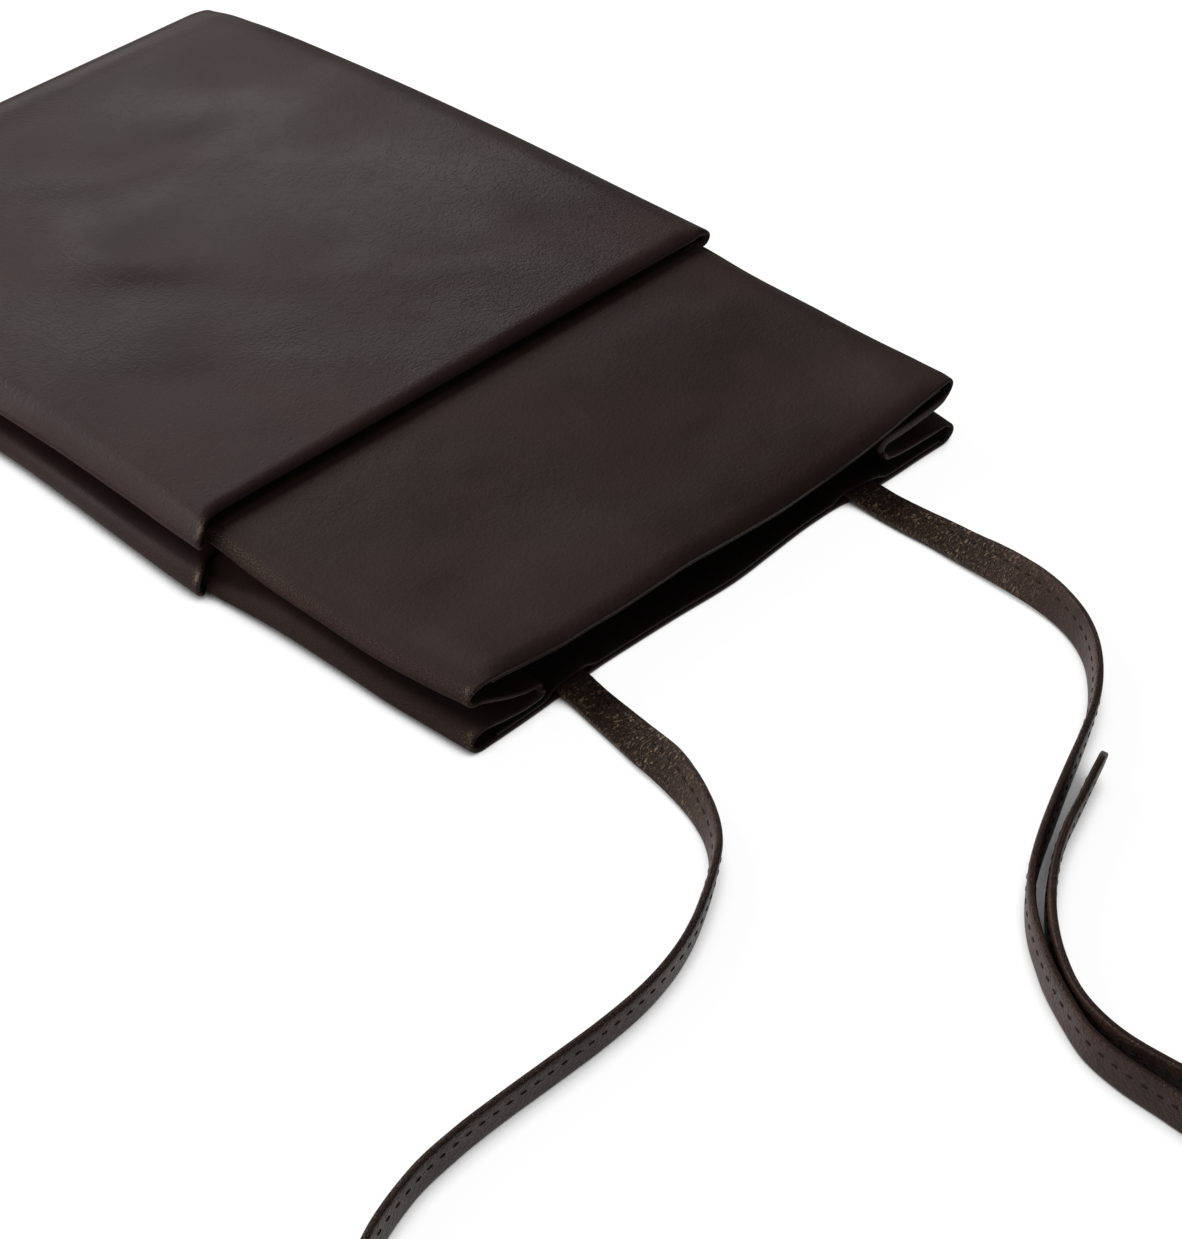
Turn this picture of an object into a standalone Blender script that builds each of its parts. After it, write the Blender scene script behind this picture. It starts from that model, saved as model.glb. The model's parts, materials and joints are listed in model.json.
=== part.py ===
"""A soft leather book pouch lying closed on a table, with two tie straps.

X runs across the pouch, the mouth faces -Y, the closed end is at +Y and Z points up.
The origin is on the table under the middle of the pouch. All sizes are in metres.
"""
import math

import bmesh
import bpy
import numpy as np

# Leather and fit
LEATHER = 0.0011          # thickness of the panels
FACING_LEATHER = 0.0009   # thinner leather of the strips inside the mouth
GAP = 0.0003              # clearance between neighbouring pieces

# Body section, from the tuck to the closed end
BODY_WIDTH = 0.177        # across the side folds at the tuck
END_TAPER = 0.004         # how much narrower the closed end is
BODY_LENGTH = 0.198
BODY_HEIGHT = 0.0188      # top of the front panel just behind the tuck
CLOSED_HEIGHT = 0.0082    # thickness of the pouch at the closed end
END_ROUND = 0.0036        # how far the rounded closed end reaches
CORNER_DRAW = 0.0028      # how far the closed corners draw in
FOLD_RADIUS = 0.00275     # side folds of the body, measured outside
LIP_LENGTH = 0.0024       # doubled edge of the tuck
LIP_THICKNESS = 0.0021

# Mouth section, from the mouth to the tuck
NECK_INSET = 0.0085       # how much narrower than the body it is where it enters
MOUTH_TAPER = 0.0035      # how much it narrows from there to the mouth
MOUTH_LENGTH = 0.0875
TUCK_OVERLAP = 0.010      # how far its panels reach into the body
MOUTH_HEIGHT = 0.0176     # top of the front panel at the mouth corners
MOUTH_MIDDLE_HEIGHT = 0.0119
WAIST_HEIGHT = 0.0149     # top of the front panel half way along the section
MOUTH_FOLD_RADIUS = 0.00235
NECK_FOLD_RADIUS = 0.00135

# In-folded side gussets
GUSSET_DEPTH = 0.025      # from the side fold to the inner seam
MOUTH_GUSSET_DEPTH = 0.0235
MOUTH_SEAM_HEIGHT = 0.0060   # inner seam above the table at the mouth

# Strips inside the mouth and the closed seam
FACING_DEPTH = 0.0115
FACING_INSET = 0.013      # how much shorter the strips are than the mouth is wide
SEAM_DEPTH = 0.0085
SEAM_THICKNESS = 0.0018

# Tie straps
STRAP_WIDTH = 0.0090
STRAP_THICKNESS = 0.0020
STRAP_ROOT_THICKNESS = 0.0013   # skived end between the back panel and its facing
STRAP_ROOT_DEPTH = 0.0095
LEFT_STRAP_PLACE = -0.0520
RIGHT_STRAP_PLACE = 0.0470
STRAP_STEP = 0.0070       # distance between the sections of a strap
STRAP_TIP_SHARE = 0.55    # width left at the eased free end
FACING_RAMP = 0.0045      # run over which the facing climbs over a strap

# Steps of a rounded fold, and of the flat runs between two folds
FOLD_STEPS = 3
FINE_STEPS = 8
EVEN_STEPS = 3

# Leather looks: linear colour and roughness
BODY_LOOK = ((0.052, 0.040, 0.040), 0.55)
MOUTH_LOOK = ((0.030, 0.022, 0.021), 0.55)
GUSSET_LOOK = ((0.036, 0.026, 0.023), 0.60)
FACING_LOOK = ((0.020, 0.014, 0.013), 0.70)
STRAP_LOOK = ((0.040, 0.028, 0.024), 0.50)

# Derived sizes and places
END_WIDTH = BODY_WIDTH - END_TAPER
NECK_WIDTH = BODY_WIDTH - NECK_INSET
MOUTH_WIDTH = NECK_WIDTH - MOUTH_TAPER
FACING_SPAN = MOUTH_WIDTH - FACING_INSET
LENGTH = MOUTH_LENGTH + BODY_LENGTH
MOUTH_Y = -LENGTH / 2
TUCK_Y = MOUTH_Y + MOUTH_LENGTH
END_Y = LENGTH / 2
NOSE_Y = END_Y - END_ROUND
END_MIDDLE = CLOSED_HEIGHT / 2

# Height of the body's front panel above the closed height, along the body
BODY_RISE_SHARES = ((0.0, 1.0), (0.07, 0.985), (0.20, 0.965), (0.31, 0.945), (0.42, 0.90),
                    (0.56, 0.81), (0.70, 0.67), (0.80, 0.55), (0.88, 0.40), (0.94, 0.22),
                    (0.981, 0.0))
# Height across the mouth's front edge, from its middle height (0) to its corner height (1)
MOUTH_LIP_SHARES = ((-1.0, 0.98), (-0.92, 0.96), (-0.80, 0.72), (-0.68, 0.48), (-0.55, 0.42),
                    (-0.43, 0.34), (-0.30, 0.35), (-0.17, 0.38), (-0.04, 0.24), (0.09, 0.10),
                    (0.22, 0.0), (0.36, 0.06), (0.50, 0.14), (0.60, 0.28), (0.71, 0.50),
                    (0.85, 0.86), (0.93, 1.0), (1.0, 1.0))
# How much of the mouth's lip shape is left, along the mouth section
LIP_FADE_SHARES = ((0.0, 1.0), (0.13, 0.72), (0.3, 0.40), (0.55, 0.15), (0.8, 0.0), (1.0, 0.0))
NECK_RUN_SHARE = 0.16     # last run of the mouth section, which meets the tuck
# Places of the sections along the body and along the mouth section
BODY_RUN_SHARES = (0.032, 0.20, 0.31, 0.42, 0.52, 0.62, 0.70, 0.77, 0.83, 0.88, 0.92, 0.955)
BACK_RUN_SHARES = (0.032, 0.955)
BODY_GUSSET_SHARES = (0.0, 0.20, 0.42, 0.62, 0.77, 0.88, 0.955)
MOUTH_RUN_SHARES = (0.0, 0.06, 0.13, 0.21, 0.30, 0.42, 0.55, 0.68, 0.80, 0.87, 0.94, 1.0)
MOUTH_GUSSET_SHARES = MOUTH_RUN_SHARES[:-1]
LIP_ROUND_SHARES = (0.0, 0.3, 1.0)


def share_at(table, place):
    """Reads a table of shares at one place, with straight runs between its rows."""
    places, values = zip(*table)
    return float(np.interp(place, places, values))


def leather(name, look):
    colour, roughness = look
    made = bpy.data.materials.new(name)
    made.use_nodes = True
    shader = made.node_tree.nodes["Principled BSDF"]
    shader.inputs["Base Color"].default_value = (*colour, 1.0)
    shader.inputs["Roughness"].default_value = roughness
    shader.inputs["Metallic"].default_value = 0.0
    return made


def new_object(name, bm, look):
    """Turns a finished bmesh into a named object with a leather of its own."""
    bmesh.ops.recalc_face_normals(bm, faces=bm.faces)
    mesh = bpy.data.meshes.new(name)
    bm.to_mesh(mesh)
    bm.free()
    mesh.materials.append(leather(f"{name}_leather", look))
    mesh.shade_smooth()
    mesh.set_sharp_from_angle(angle=math.radians(40))
    made = bpy.data.objects.new(name, mesh)
    bpy.context.scene.collection.objects.link(made)
    return made


def leather_sheet(name, rows, look):
    """A closed sheet from rows of sections, each an outer and an inner line of points."""
    bm = bmesh.new()
    outer = [[bm.verts.new(p) for p in row[0]] for row in rows]
    inner = [[bm.verts.new(p) for p in row[1]] for row in rows]
    last_row = len(rows) - 1
    last_point = len(rows[0][0]) - 1
    for i in range(last_row):
        for j in range(last_point):
            bm.faces.new((outer[i][j], outer[i][j + 1], outer[i + 1][j + 1], outer[i + 1][j]))
            bm.faces.new((inner[i][j], inner[i + 1][j], inner[i + 1][j + 1], inner[i][j + 1]))
        for j in (0, last_point):
            bm.faces.new((outer[i][j], outer[i + 1][j], inner[i + 1][j], inner[i][j]))
    for i in (0, last_row):
        for j in range(last_point):
            bm.faces.new((outer[i][j], inner[i][j], inner[i][j + 1], outer[i][j + 1]))
    return new_object(name, bm, look)


# Sections of the pouch at one place along Y

def along_body(y):
    return (y - TUCK_Y) / BODY_LENGTH


def along_mouth(y):
    return min(max((y - MOUTH_Y) / MOUTH_LENGTH, 0.0), 1.0)


def body_top(y):
    rise = share_at(BODY_RISE_SHARES, along_body(y))
    return CLOSED_HEIGHT + (BODY_HEIGHT - CLOSED_HEIGHT) * rise


def body_radius(y):
    return min(FOLD_RADIUS, (body_top(y) - 3 * GAP) / 4)


def body_half_width(y):
    return (BODY_WIDTH + (END_WIDTH - BODY_WIDTH) * along_body(y)) / 2


def mouth_half_width(y):
    return (MOUTH_WIDTH + (NECK_WIDTH - MOUTH_WIDTH) * along_mouth(y)) / 2


def neck_share(y):
    """0 on the free run of the mouth section, rising to 1 where it enters the body."""
    neck = MOUTH_LENGTH * NECK_RUN_SHARE
    share = min(max((y - TUCK_Y + neck) / neck, 0.0), 1.0)
    return share * share * (3 - 2 * share)


def mouth_radius(y):
    return MOUTH_FOLD_RADIUS + (NECK_FOLD_RADIUS - MOUTH_FOLD_RADIUS) * neck_share(y)


def overlap_share(y):
    """0 at the lip of the tuck, rising to 1 where the inserted panels meet the body."""
    return min(max((y - TUCK_Y - LIP_LENGTH) / (TUCK_OVERLAP - LIP_LENGTH), 0.0), 1.0)


def neck_top():
    """Front panel of the mouth section just under the doubled lip."""
    return BODY_HEIGHT - LIP_THICKNESS - 2 * GAP


def mouth_edge_top(y):
    """Top of the mouth section beside its side folds."""
    inserted = body_top(y) - LEATHER - GAP
    if y > TUCK_Y:
        return neck_top() + (inserted - neck_top()) * overlap_share(y)
    free = WAIST_HEIGHT + (MOUTH_HEIGHT - WAIST_HEIGHT) * share_at(LIP_FADE_SHARES, along_mouth(y))
    return free + (neck_top() - free) * neck_share(y)


def mouth_top(x, y):
    """Top of the mouth section's front panel, which sags between the folds."""
    across = x / mouth_half_width(y)
    lip = 1.0 - share_at(MOUTH_LIP_SHARES, across)
    depth = (MOUTH_HEIGHT - MOUTH_MIDDLE_HEIGHT) * share_at(LIP_FADE_SHARES, along_mouth(y))
    return mouth_edge_top(y) - lip * depth


def mouth_floor(y):
    """Underside of the mouth section's back panel, raised over the lip of the tuck."""
    over_lip = LIP_THICKNESS + GAP
    if y > TUCK_Y:
        return over_lip + (LEATHER + GAP - over_lip) * overlap_share(y)
    return over_lip * neck_share(y)


def mouth_seam(y):
    """Height of the gussets' inner seam along the mouth section."""
    share = along_mouth(y)
    return MOUTH_SEAM_HEIGHT + (BODY_HEIGHT / 2 - MOUTH_SEAM_HEIGHT) * share


def even_shares(steps):
    """Shares from -1 to 1 at an even step, without the two ends."""
    return [k / steps for k in range(1 - steps, steps)]


def corner_arc(half, radius, top):
    """Points of a side fold from its top to its outermost line."""
    angles = [math.pi / 2 * k / FOLD_STEPS for k in range(FOLD_STEPS + 1)]
    return [(half - radius + radius * math.sin(a), top - radius + radius * math.cos(a))
            for a in angles]


def panel_line(half, radius, top_at, steps):
    """A panel's surface with its two quarter folds, as (x, z) from one side to the other."""
    reach = half - radius
    left = [(-x, z) for x, z in reversed(corner_arc(half, radius, top_at(-reach)))]
    flat = [(share * reach, top_at(share * reach)) for share in even_shares(steps)]
    return left + flat + corner_arc(half, radius, top_at(reach))


def placed(line, y):
    return [(x, y, z) for x, z in line]


def panel_section(y, half, radius, top_at, thickness, steps):
    """Outer and inner line of a panel, whose flat run may be thicker than its folds."""
    outer = panel_line(half, radius, top_at, steps)
    inner_radius = max(radius - LEATHER, GAP)
    inner = panel_line(half - LEATHER, inner_radius, lambda x: top_at(x) - LEATHER, steps)
    flat = slice(FOLD_STEPS + 1, -FOLD_STEPS - 1)
    inner[flat] = [(x, z + LEATHER - thickness) for x, z in inner[flat]]
    return placed(outer, y), placed(inner, y)


def flipped(rows, height_at):
    """Rows turned upside down about half of a height that changes along Y."""
    return [tuple([(x, y, height_at(y) - z) for x, y, z in line] for line in row)
            for row in rows]


# Body panels

def body_rows(top_of, run_shares):
    """Rows of a body panel: doubled lip at the tuck, long run, rounded closed end."""
    rows = []
    for share in LIP_ROUND_SHARES:
        y = TUCK_Y + LIP_LENGTH * share
        easing = LIP_THICKNESS / 2 * (1 - share) ** 2
        top = top_of(y) - easing
        rows.append(panel_section(y, body_half_width(y) - easing, FOLD_RADIUS - easing,
                                  lambda x, z=top: z, LIP_THICKNESS - 2 * easing, EVEN_STEPS))
    for share in run_shares:
        y = TUCK_Y + BODY_LENGTH * share
        rows.append(panel_section(y, body_half_width(y), body_radius(y),
                                  lambda x, z=top_of(y): z, LEATHER, EVEN_STEPS))
    return rows + closed_end_rows()


def closed_end_rows():
    """Rows round the nose of the closed end, down to just above its middle line."""
    rows = []
    for degrees in (0, 25, 50, 78):
        turn = math.radians(degrees)
        rise = END_MIDDLE * math.cos(turn)
        inner_rise = (END_MIDDLE - LEATHER) * math.cos(turn) + GAP / 2
        half = body_half_width(NOSE_Y) - CORNER_DRAW * (1 - math.cos(turn))
        radius = (rise - 3 * GAP / 2) / 2
        outer = panel_line(half, radius, lambda x, h=rise: END_MIDDLE + h, EVEN_STEPS)
        inner = panel_line(half - LEATHER, max(radius - LEATHER, GAP),
                           lambda x, h=inner_rise: END_MIDDLE + h, EVEN_STEPS)
        rows.append((placed(outer, NOSE_Y + END_ROUND * math.sin(turn)),
                     placed(inner, NOSE_Y + (END_ROUND - LEATHER) * math.sin(turn))))
    return rows


def front_body():
    return leather_sheet("front_body_panel", body_rows(body_top, BODY_RUN_SHARES), BODY_LOOK)


def back_body():
    """The back panel mirrors the front one but lies flat on the table."""
    rows = body_rows(lambda y: CLOSED_HEIGHT, BACK_RUN_SHARES)
    return leather_sheet("back_body_panel", flipped(rows, lambda y: CLOSED_HEIGHT), BODY_LOOK)


# Mouth panels

def mouth_places():
    places = [MOUTH_Y + MOUTH_LENGTH * share for share in MOUTH_RUN_SHARES]
    places.append(TUCK_Y + LIP_LENGTH)
    places.append(TUCK_Y + (LIP_LENGTH + TUCK_OVERLAP) / 2)
    places.append(TUCK_Y + TUCK_OVERLAP)
    return places


def front_mouth():
    rows = [panel_section(y, mouth_half_width(y), mouth_radius(y),
                          lambda x, place=y: mouth_top(x, place), LEATHER, FINE_STEPS)
            for y in mouth_places()]
    return leather_sheet("front_mouth_panel", rows, MOUTH_LOOK)


def back_mouth():
    """The back panel of the mouth section is flat and turned folds up."""
    rows = [panel_section(y, mouth_half_width(y), mouth_radius(y), lambda x: 0.0, LEATHER,
                          EVEN_STEPS) for y in mouth_places()]
    return leather_sheet("back_mouth_panel", flipped(rows, mouth_floor), MOUTH_LOOK)


# Gusset halves

def gusset_section(y, side, half, radius, rim, seam, tip, upper):
    """Outer and inner line of one gusset half, from the side fold to the inner seam.

    The upper half hangs from the front panel's fold and the lower half rises from
    the back panel's; both slope to the seam.
    """
    turn = 1 if upper else -1
    outer = []
    inner = []
    start_x = half - radius
    for k in range(FOLD_STEPS + 1):
        a = math.pi / 2 * k / FOLD_STEPS
        outer.append((start_x + radius * math.cos(a), rim - turn * radius * math.sin(a)))
        small = radius - LEATHER
        inner.append((start_x + small * math.cos(a), rim - turn * small * math.sin(a)))
    start_z = rim - turn * radius
    for share in (0.5, 1.0):
        x = start_x + (tip - start_x) * share
        z = start_z + (seam - start_z) * share
        outer.append((x, z))
        inner.append((x, z + turn * LEATHER))
    return ([(side * x, y, z) for x, z in outer], [(side * x, y, z) for x, z in inner])


def gusset(name, places, side, upper, section_at):
    rows = [gusset_section(y, side, *section_at(y, upper), upper) for y in places]
    return leather_sheet(name, rows, GUSSET_LOOK)


def body_gusset_at(y, upper):
    radius = body_radius(y)
    top = body_top(y)
    half = body_half_width(y)
    middle = top / 2
    tip = half - GUSSET_DEPTH
    if upper:
        return half, radius, top - radius - GAP, middle + GAP / 2, tip
    return half, radius, radius + GAP, middle - GAP / 2, tip


def mouth_gusset_at(y, upper):
    radius = mouth_radius(y)
    half = mouth_half_width(y)
    depth = MOUTH_GUSSET_DEPTH + (GUSSET_DEPTH - MOUTH_GUSSET_DEPTH) * along_mouth(y)
    tip = half - depth
    seam = mouth_seam(y)
    if upper:
        return half, radius, mouth_edge_top(y) - radius - GAP, seam + GAP / 2, tip
    return half, radius, mouth_floor(y) + radius + GAP, seam - GAP / 2, tip


def body_gusset_places():
    return [TUCK_Y + BODY_LENGTH * share for share in BODY_GUSSET_SHARES] + [NOSE_Y - GAP]


def mouth_gusset_places():
    return [MOUTH_Y + MOUTH_LENGTH * share for share in MOUTH_GUSSET_SHARES] + [TUCK_Y - GAP]


# Strips inside the mouth and the closed seam

def front_facing():
    """A strip under the front panel's mouth edge."""
    half = FACING_SPAN / 2
    xs = [half * share for share in (-1.0, *even_shares(FINE_STEPS), 1.0)]
    rows = []
    for depth_share in (0.0, 0.5, 1.0):
        y = MOUTH_Y + FACING_DEPTH * depth_share
        high = [(x, y, mouth_top(x, y) - LEATHER - GAP) for x in xs]
        low = [(x, y, z - FACING_LEATHER) for x, y, z in high]
        rows.append((high, low))
    return leather_sheet("front_mouth_facing", rows, FACING_LOOK)


def facing_climb(x):
    """0 on the plain run of the back facing, 1 where it passes over a strap."""
    climb = 0.0
    for place in (LEFT_STRAP_PLACE, RIGHT_STRAP_PLACE):
        away = abs(x - place) - STRAP_WIDTH / 2 - GAP
        climb = max(climb, min(max(1.0 - away / FACING_RAMP, 0.0), 1.0))
    return climb


def back_facing():
    """A strip over the back panel's mouth edge that holds the straps' ends."""
    half = FACING_SPAN / 2
    xs = {-half, 0.0, half}
    for place in (LEFT_STRAP_PLACE, RIGHT_STRAP_PLACE):
        for side in (-1, 1):
            edge = place + side * (STRAP_WIDTH / 2 + GAP)
            xs.add(edge)
            xs.add(edge + side * FACING_RAMP)
    rows = []
    for depth_share in (0.0, 1.0):
        y = MOUTH_Y + FACING_DEPTH * depth_share
        plain = LEATHER + GAP
        climb = STRAP_ROOT_THICKNESS + GAP
        low = [(x, y, plain + climb * facing_climb(x)) for x in sorted(xs)]
        high = [(x, y, z + FACING_LEATHER) for x, y, z in low]
        rows.append((high, low))
    return leather_sheet("back_mouth_facing", rows, FACING_LOOK)


def closed_seam():
    """The turned-in seam allowance between the gussets at the closed end."""
    half = END_WIDTH / 2 - GUSSET_DEPTH - 2 * GAP
    back_edge = END_Y - LEATHER - 3 * GAP
    bm = bmesh.new()
    bmesh.ops.create_cube(bm, size=1.0)
    bmesh.ops.scale(bm, vec=(2 * half, SEAM_DEPTH, SEAM_THICKNESS), verts=bm.verts)
    middle = (0.0, back_edge - SEAM_DEPTH / 2, END_MIDDLE)
    bmesh.ops.translate(bm, vec=middle, verts=bm.verts)
    return new_object("closed_end_seam", bm, FACING_LOOK)


# Tie straps

# Each row of a route is the middle of the strap, with y counted from the mouth's edge,
# and its turn about its own run in degrees: 0 lies flat and 90 stands on edge.
LEFT_ROUTE = (
    (-0.0523, -0.0020, 0.0019, 0), (-0.0532, -0.0080, 0.0015, 0), (-0.0546, -0.0155, 0.0017, 6),
    (-0.0560, -0.0225, 0.0021, 12), (-0.0577, -0.0290, 0.0030, 25), (-0.0594, -0.0355, 0.0040, 43),
    (-0.0615, -0.0420, 0.0045, 60), (-0.0644, -0.0495, 0.0047, 73), (-0.0685, -0.0570, 0.0047, 80),
    (-0.0736, -0.0630, 0.0047, 82), (-0.0800, -0.0676, 0.0047, 82), (-0.0870, -0.0717, 0.0047, 82),
    (-0.0950, -0.0757, 0.0047, 82), (-0.1040, -0.0789, 0.0047, 82), (-0.1150, -0.0811, 0.0047, 82),
    (-0.1280, -0.0819, 0.0047, 82), (-0.1420, -0.0818, 0.0047, 82), (-0.1560, -0.0816, 0.0047, 82),
    (-0.1680, -0.0819, 0.0047, 84), (-0.1810, -0.0835, 0.0047, 86), (-0.1970, -0.0889, 0.0047, 90),
    (-0.2110, -0.0980, 0.0047, 90), (-0.2200, -0.1103, 0.0047, 90), (-0.2235, -0.1243, 0.0047, 90),
    (-0.2210, -0.1383, 0.0047, 90), (-0.2130, -0.1503, 0.0047, 90), (-0.2010, -0.1593, 0.0047, 90),
    (-0.1870, -0.1648, 0.0047, 90), (-0.1720, -0.1693, 0.0047, 90), (-0.1590, -0.1768, 0.0047, 90),
    (-0.1500, -0.1883, 0.0047, 90), (-0.1475, -0.2023, 0.0047, 90), (-0.1520, -0.2158, 0.0047, 90),
    (-0.1620, -0.2263, 0.0047, 90), (-0.1755, -0.2328, 0.0047, 90), (-0.1930, -0.2353, 0.0047, 90),
    (-0.2140, -0.2336, 0.0047, 90), (-0.2360, -0.2313, 0.0047, 90), (-0.2570, -0.2334, 0.0047, 90),
    (-0.2740, -0.2433, 0.0047, 90), (-0.2830, -0.2583, 0.0047, 90), (-0.2830, -0.2753, 0.0047, 90),
)
RIGHT_ROUTE = (
    (0.0470, -0.0020, 0.0019, 0), (0.0468, -0.0090, 0.0015, 4), (0.0467, -0.0170, 0.0017, 7),
    (0.0468, -0.0250, 0.0020, 11), (0.0463, -0.0330, 0.0025, 18), (0.0457, -0.0410, 0.0033, 30),
    (0.0447, -0.0490, 0.0041, 46), (0.0435, -0.0565, 0.0046, 61), (0.0417, -0.0640, 0.0047, 73),
    (0.0386, -0.0715, 0.0047, 79), (0.0342, -0.0780, 0.0047, 82), (0.0286, -0.0836, 0.0047, 82),
    (0.0220, -0.0886, 0.0047, 82), (0.0150, -0.0926, 0.0047, 82), (0.0060, -0.0967, 0.0047, 84),
    (-0.0048, -0.1012, 0.0047, 87), (-0.0156, -0.1059, 0.0047, 90), (-0.0255, -0.1104, 0.0047, 90),
    (-0.0339, -0.1149, 0.0047, 90), (-0.0405, -0.1196, 0.0047, 90), (-0.0460, -0.1247, 0.0047, 90),
    (-0.0507, -0.1303, 0.0047, 90), (-0.0550, -0.1360, 0.0047, 90), (-0.0598, -0.1441, 0.0047, 90),
    (-0.0637, -0.1522, 0.0047, 90), (-0.0655, -0.1620, 0.0047, 90), (-0.0659, -0.1737, 0.0047, 90),
    (-0.0668, -0.1840, 0.0047, 90), (-0.0710, -0.1960, 0.0047, 90), (-0.0778, -0.2093, 0.0047, 90),
    (-0.0837, -0.2243, 0.0047, 90), (-0.0835, -0.2413, 0.0047, 90), (-0.0745, -0.2550, 0.0047, 90),
    (-0.0600, -0.2613, 0.0047, 90), (-0.0455, -0.2578, 0.0047, 90), (-0.0355, -0.2473, 0.0047, 90),
    (-0.0325, -0.2333, 0.0047, 90), (-0.0360, -0.2183, 0.0047, 90), (-0.0435, -0.2043, 0.0047, 90),
    (-0.0525, -0.1913, 0.0047, 90), (-0.0583, -0.1788, 0.0047, 90), (-0.0601, -0.1659, 0.0047, 90),
    (-0.0599, -0.1551, 0.0047, 90), (-0.0569, -0.1447, 0.0047, 90), (-0.0511, -0.1357, 0.0047, 90),
    (-0.0439, -0.1279, 0.0047, 90), (-0.0360, -0.1214, 0.0047, 92), (-0.0272, -0.1158, 0.0047, 95),
    (-0.0182, -0.1115, 0.0047, 98), (-0.0099, -0.1085, 0.0047, 100), (-0.0019, -0.1055, 0.0047, 101),
    (0.0023, -0.1040, 0.0047, 102), (0.0064, -0.1025, 0.0047, 102),
)


def smooth_route(points, step):
    """Points at an even step on a curve that passes through every point of a route."""
    rows = np.array(points, float)
    padded = np.vstack([2 * rows[0] - rows[1], rows, 2 * rows[-1] - rows[-2]])
    dense = []
    for i in range(1, len(padded) - 2):
        p0, p1, p2, p3 = padded[i - 1:i + 3]
        for t in np.linspace(0.0, 1.0, 12, endpoint=False):
            dense.append(0.5 * (2 * p1 + (p2 - p0) * t + (2 * p0 - 5 * p1 + 4 * p2 - p3) * t ** 2
                                + (3 * p1 - p0 - 3 * p2 + p3) * t ** 3))
    dense.append(rows[-1])
    dense = np.array(dense)
    run = np.concatenate([[0.0], np.cumsum(np.linalg.norm(np.diff(dense[:, :3], axis=0), axis=1))])
    count = max(int(round(run[-1] / step)), 2)
    places = np.linspace(0.0, run[-1], count + 1)
    return np.stack([np.interp(places, run, dense[:, k]) for k in range(4)], axis=1)


def strap_section(width, thickness):
    """Outline of the folded strap with eased edges, as (across, up) pairs."""
    ease = thickness / 4
    a = width / 2
    b = thickness / 2
    return [(-a, -b + ease), (-a + ease, -b), (a - ease, -b), (a, -b + ease),
            (a, b - ease), (a - ease, b), (-a + ease, b), (-a, b - ease)]


def strap_thickness(y):
    """The strap thins to its skived root as it enters the mouth."""
    inside = min(max((y - MOUTH_Y) / STRAP_THICKNESS + 1, 0.0), 1.0)
    return STRAP_THICKNESS + (STRAP_ROOT_THICKNESS - STRAP_THICKNESS) * inside


def strap_narrowing(from_end):
    """1 along the strap, easing to the tip's share over its last half width."""
    share = min(from_end / (STRAP_WIDTH / 2), 1.0)
    return STRAP_TIP_SHARE + (1 - STRAP_TIP_SHARE) * share


def strap(name, place, route):
    """A flat strap along its route, from its skived root inside the mouth to its free end."""
    root_z = LEATHER + GAP + STRAP_ROOT_THICKNESS / 2
    root = [(place, MOUTH_Y + STRAP_ROOT_DEPTH * share, root_z, 0) for share in (1.0, 0.5, 0.0)]
    free = [(x, MOUTH_Y + y, z, turn) for x, y, z, turn in route]
    line = smooth_route(root + free, STRAP_STEP)
    bm = bmesh.new()
    rings = []
    for i, (x, y, z, turn) in enumerate(line):
        ahead = line[min(i + 1, len(line) - 1), :3] - line[max(i - 1, 0), :3]
        ahead = ahead / np.linalg.norm(ahead)
        left = np.array([-ahead[1], ahead[0], 0.0])
        left = left / np.linalg.norm(left)
        up = np.cross(ahead, left)
        a = math.radians(turn)
        across = left * math.cos(a) + up * math.sin(a)
        over = up * math.cos(a) - left * math.sin(a)
        narrowing = strap_narrowing((len(line) - 1 - i) * STRAP_STEP)
        ring = [bm.verts.new(np.array((x, y, z)) + across * p * narrowing + over * q)
                for p, q in strap_section(STRAP_WIDTH, strap_thickness(y))]
        rings.append(ring)
    for first, second in zip(rings, rings[1:]):
        for k in range(len(first)):
            m = (k + 1) % len(first)
            bm.faces.new((first[k], first[m], second[m], second[k]))
    bm.faces.new(rings[0])
    bm.faces.new(rings[-1])
    length = float(np.linalg.norm(np.diff(line[:, :3], axis=0), axis=1).sum())
    print(name, "length", round(length, 4))
    return new_object(name, bm, STRAP_LOOK)


def build():
    for old in list(bpy.data.objects):
        bpy.data.objects.remove(old, do_unlink=True)
    hinge = bpy.data.objects.new("mouth_hinge", None)
    hinge.location = (0.0, END_Y, END_MIDDLE)
    bpy.context.scene.collection.objects.link(hinge)
    for piece in (front_body(), front_mouth(), front_facing()):
        piece.parent = hinge
        piece.matrix_parent_inverse = hinge.matrix_basis.inverted()
    back_body()
    back_mouth()
    back_facing()
    closed_seam()
    for side, side_name in ((-1, "left"), (1, "right")):
        for upper, half_name in ((True, "upper"), (False, "lower")):
            gusset(f"{side_name}_body_gusset_{half_name}", body_gusset_places(), side, upper,
                   body_gusset_at)
            gusset(f"{side_name}_mouth_gusset_{half_name}", mouth_gusset_places(), side, upper,
                   mouth_gusset_at)
    strap("left_strap", LEFT_STRAP_PLACE, LEFT_ROUTE)
    strap("right_strap", RIGHT_STRAP_PLACE, RIGHT_ROUTE)


build()
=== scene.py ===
import json
import math

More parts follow.
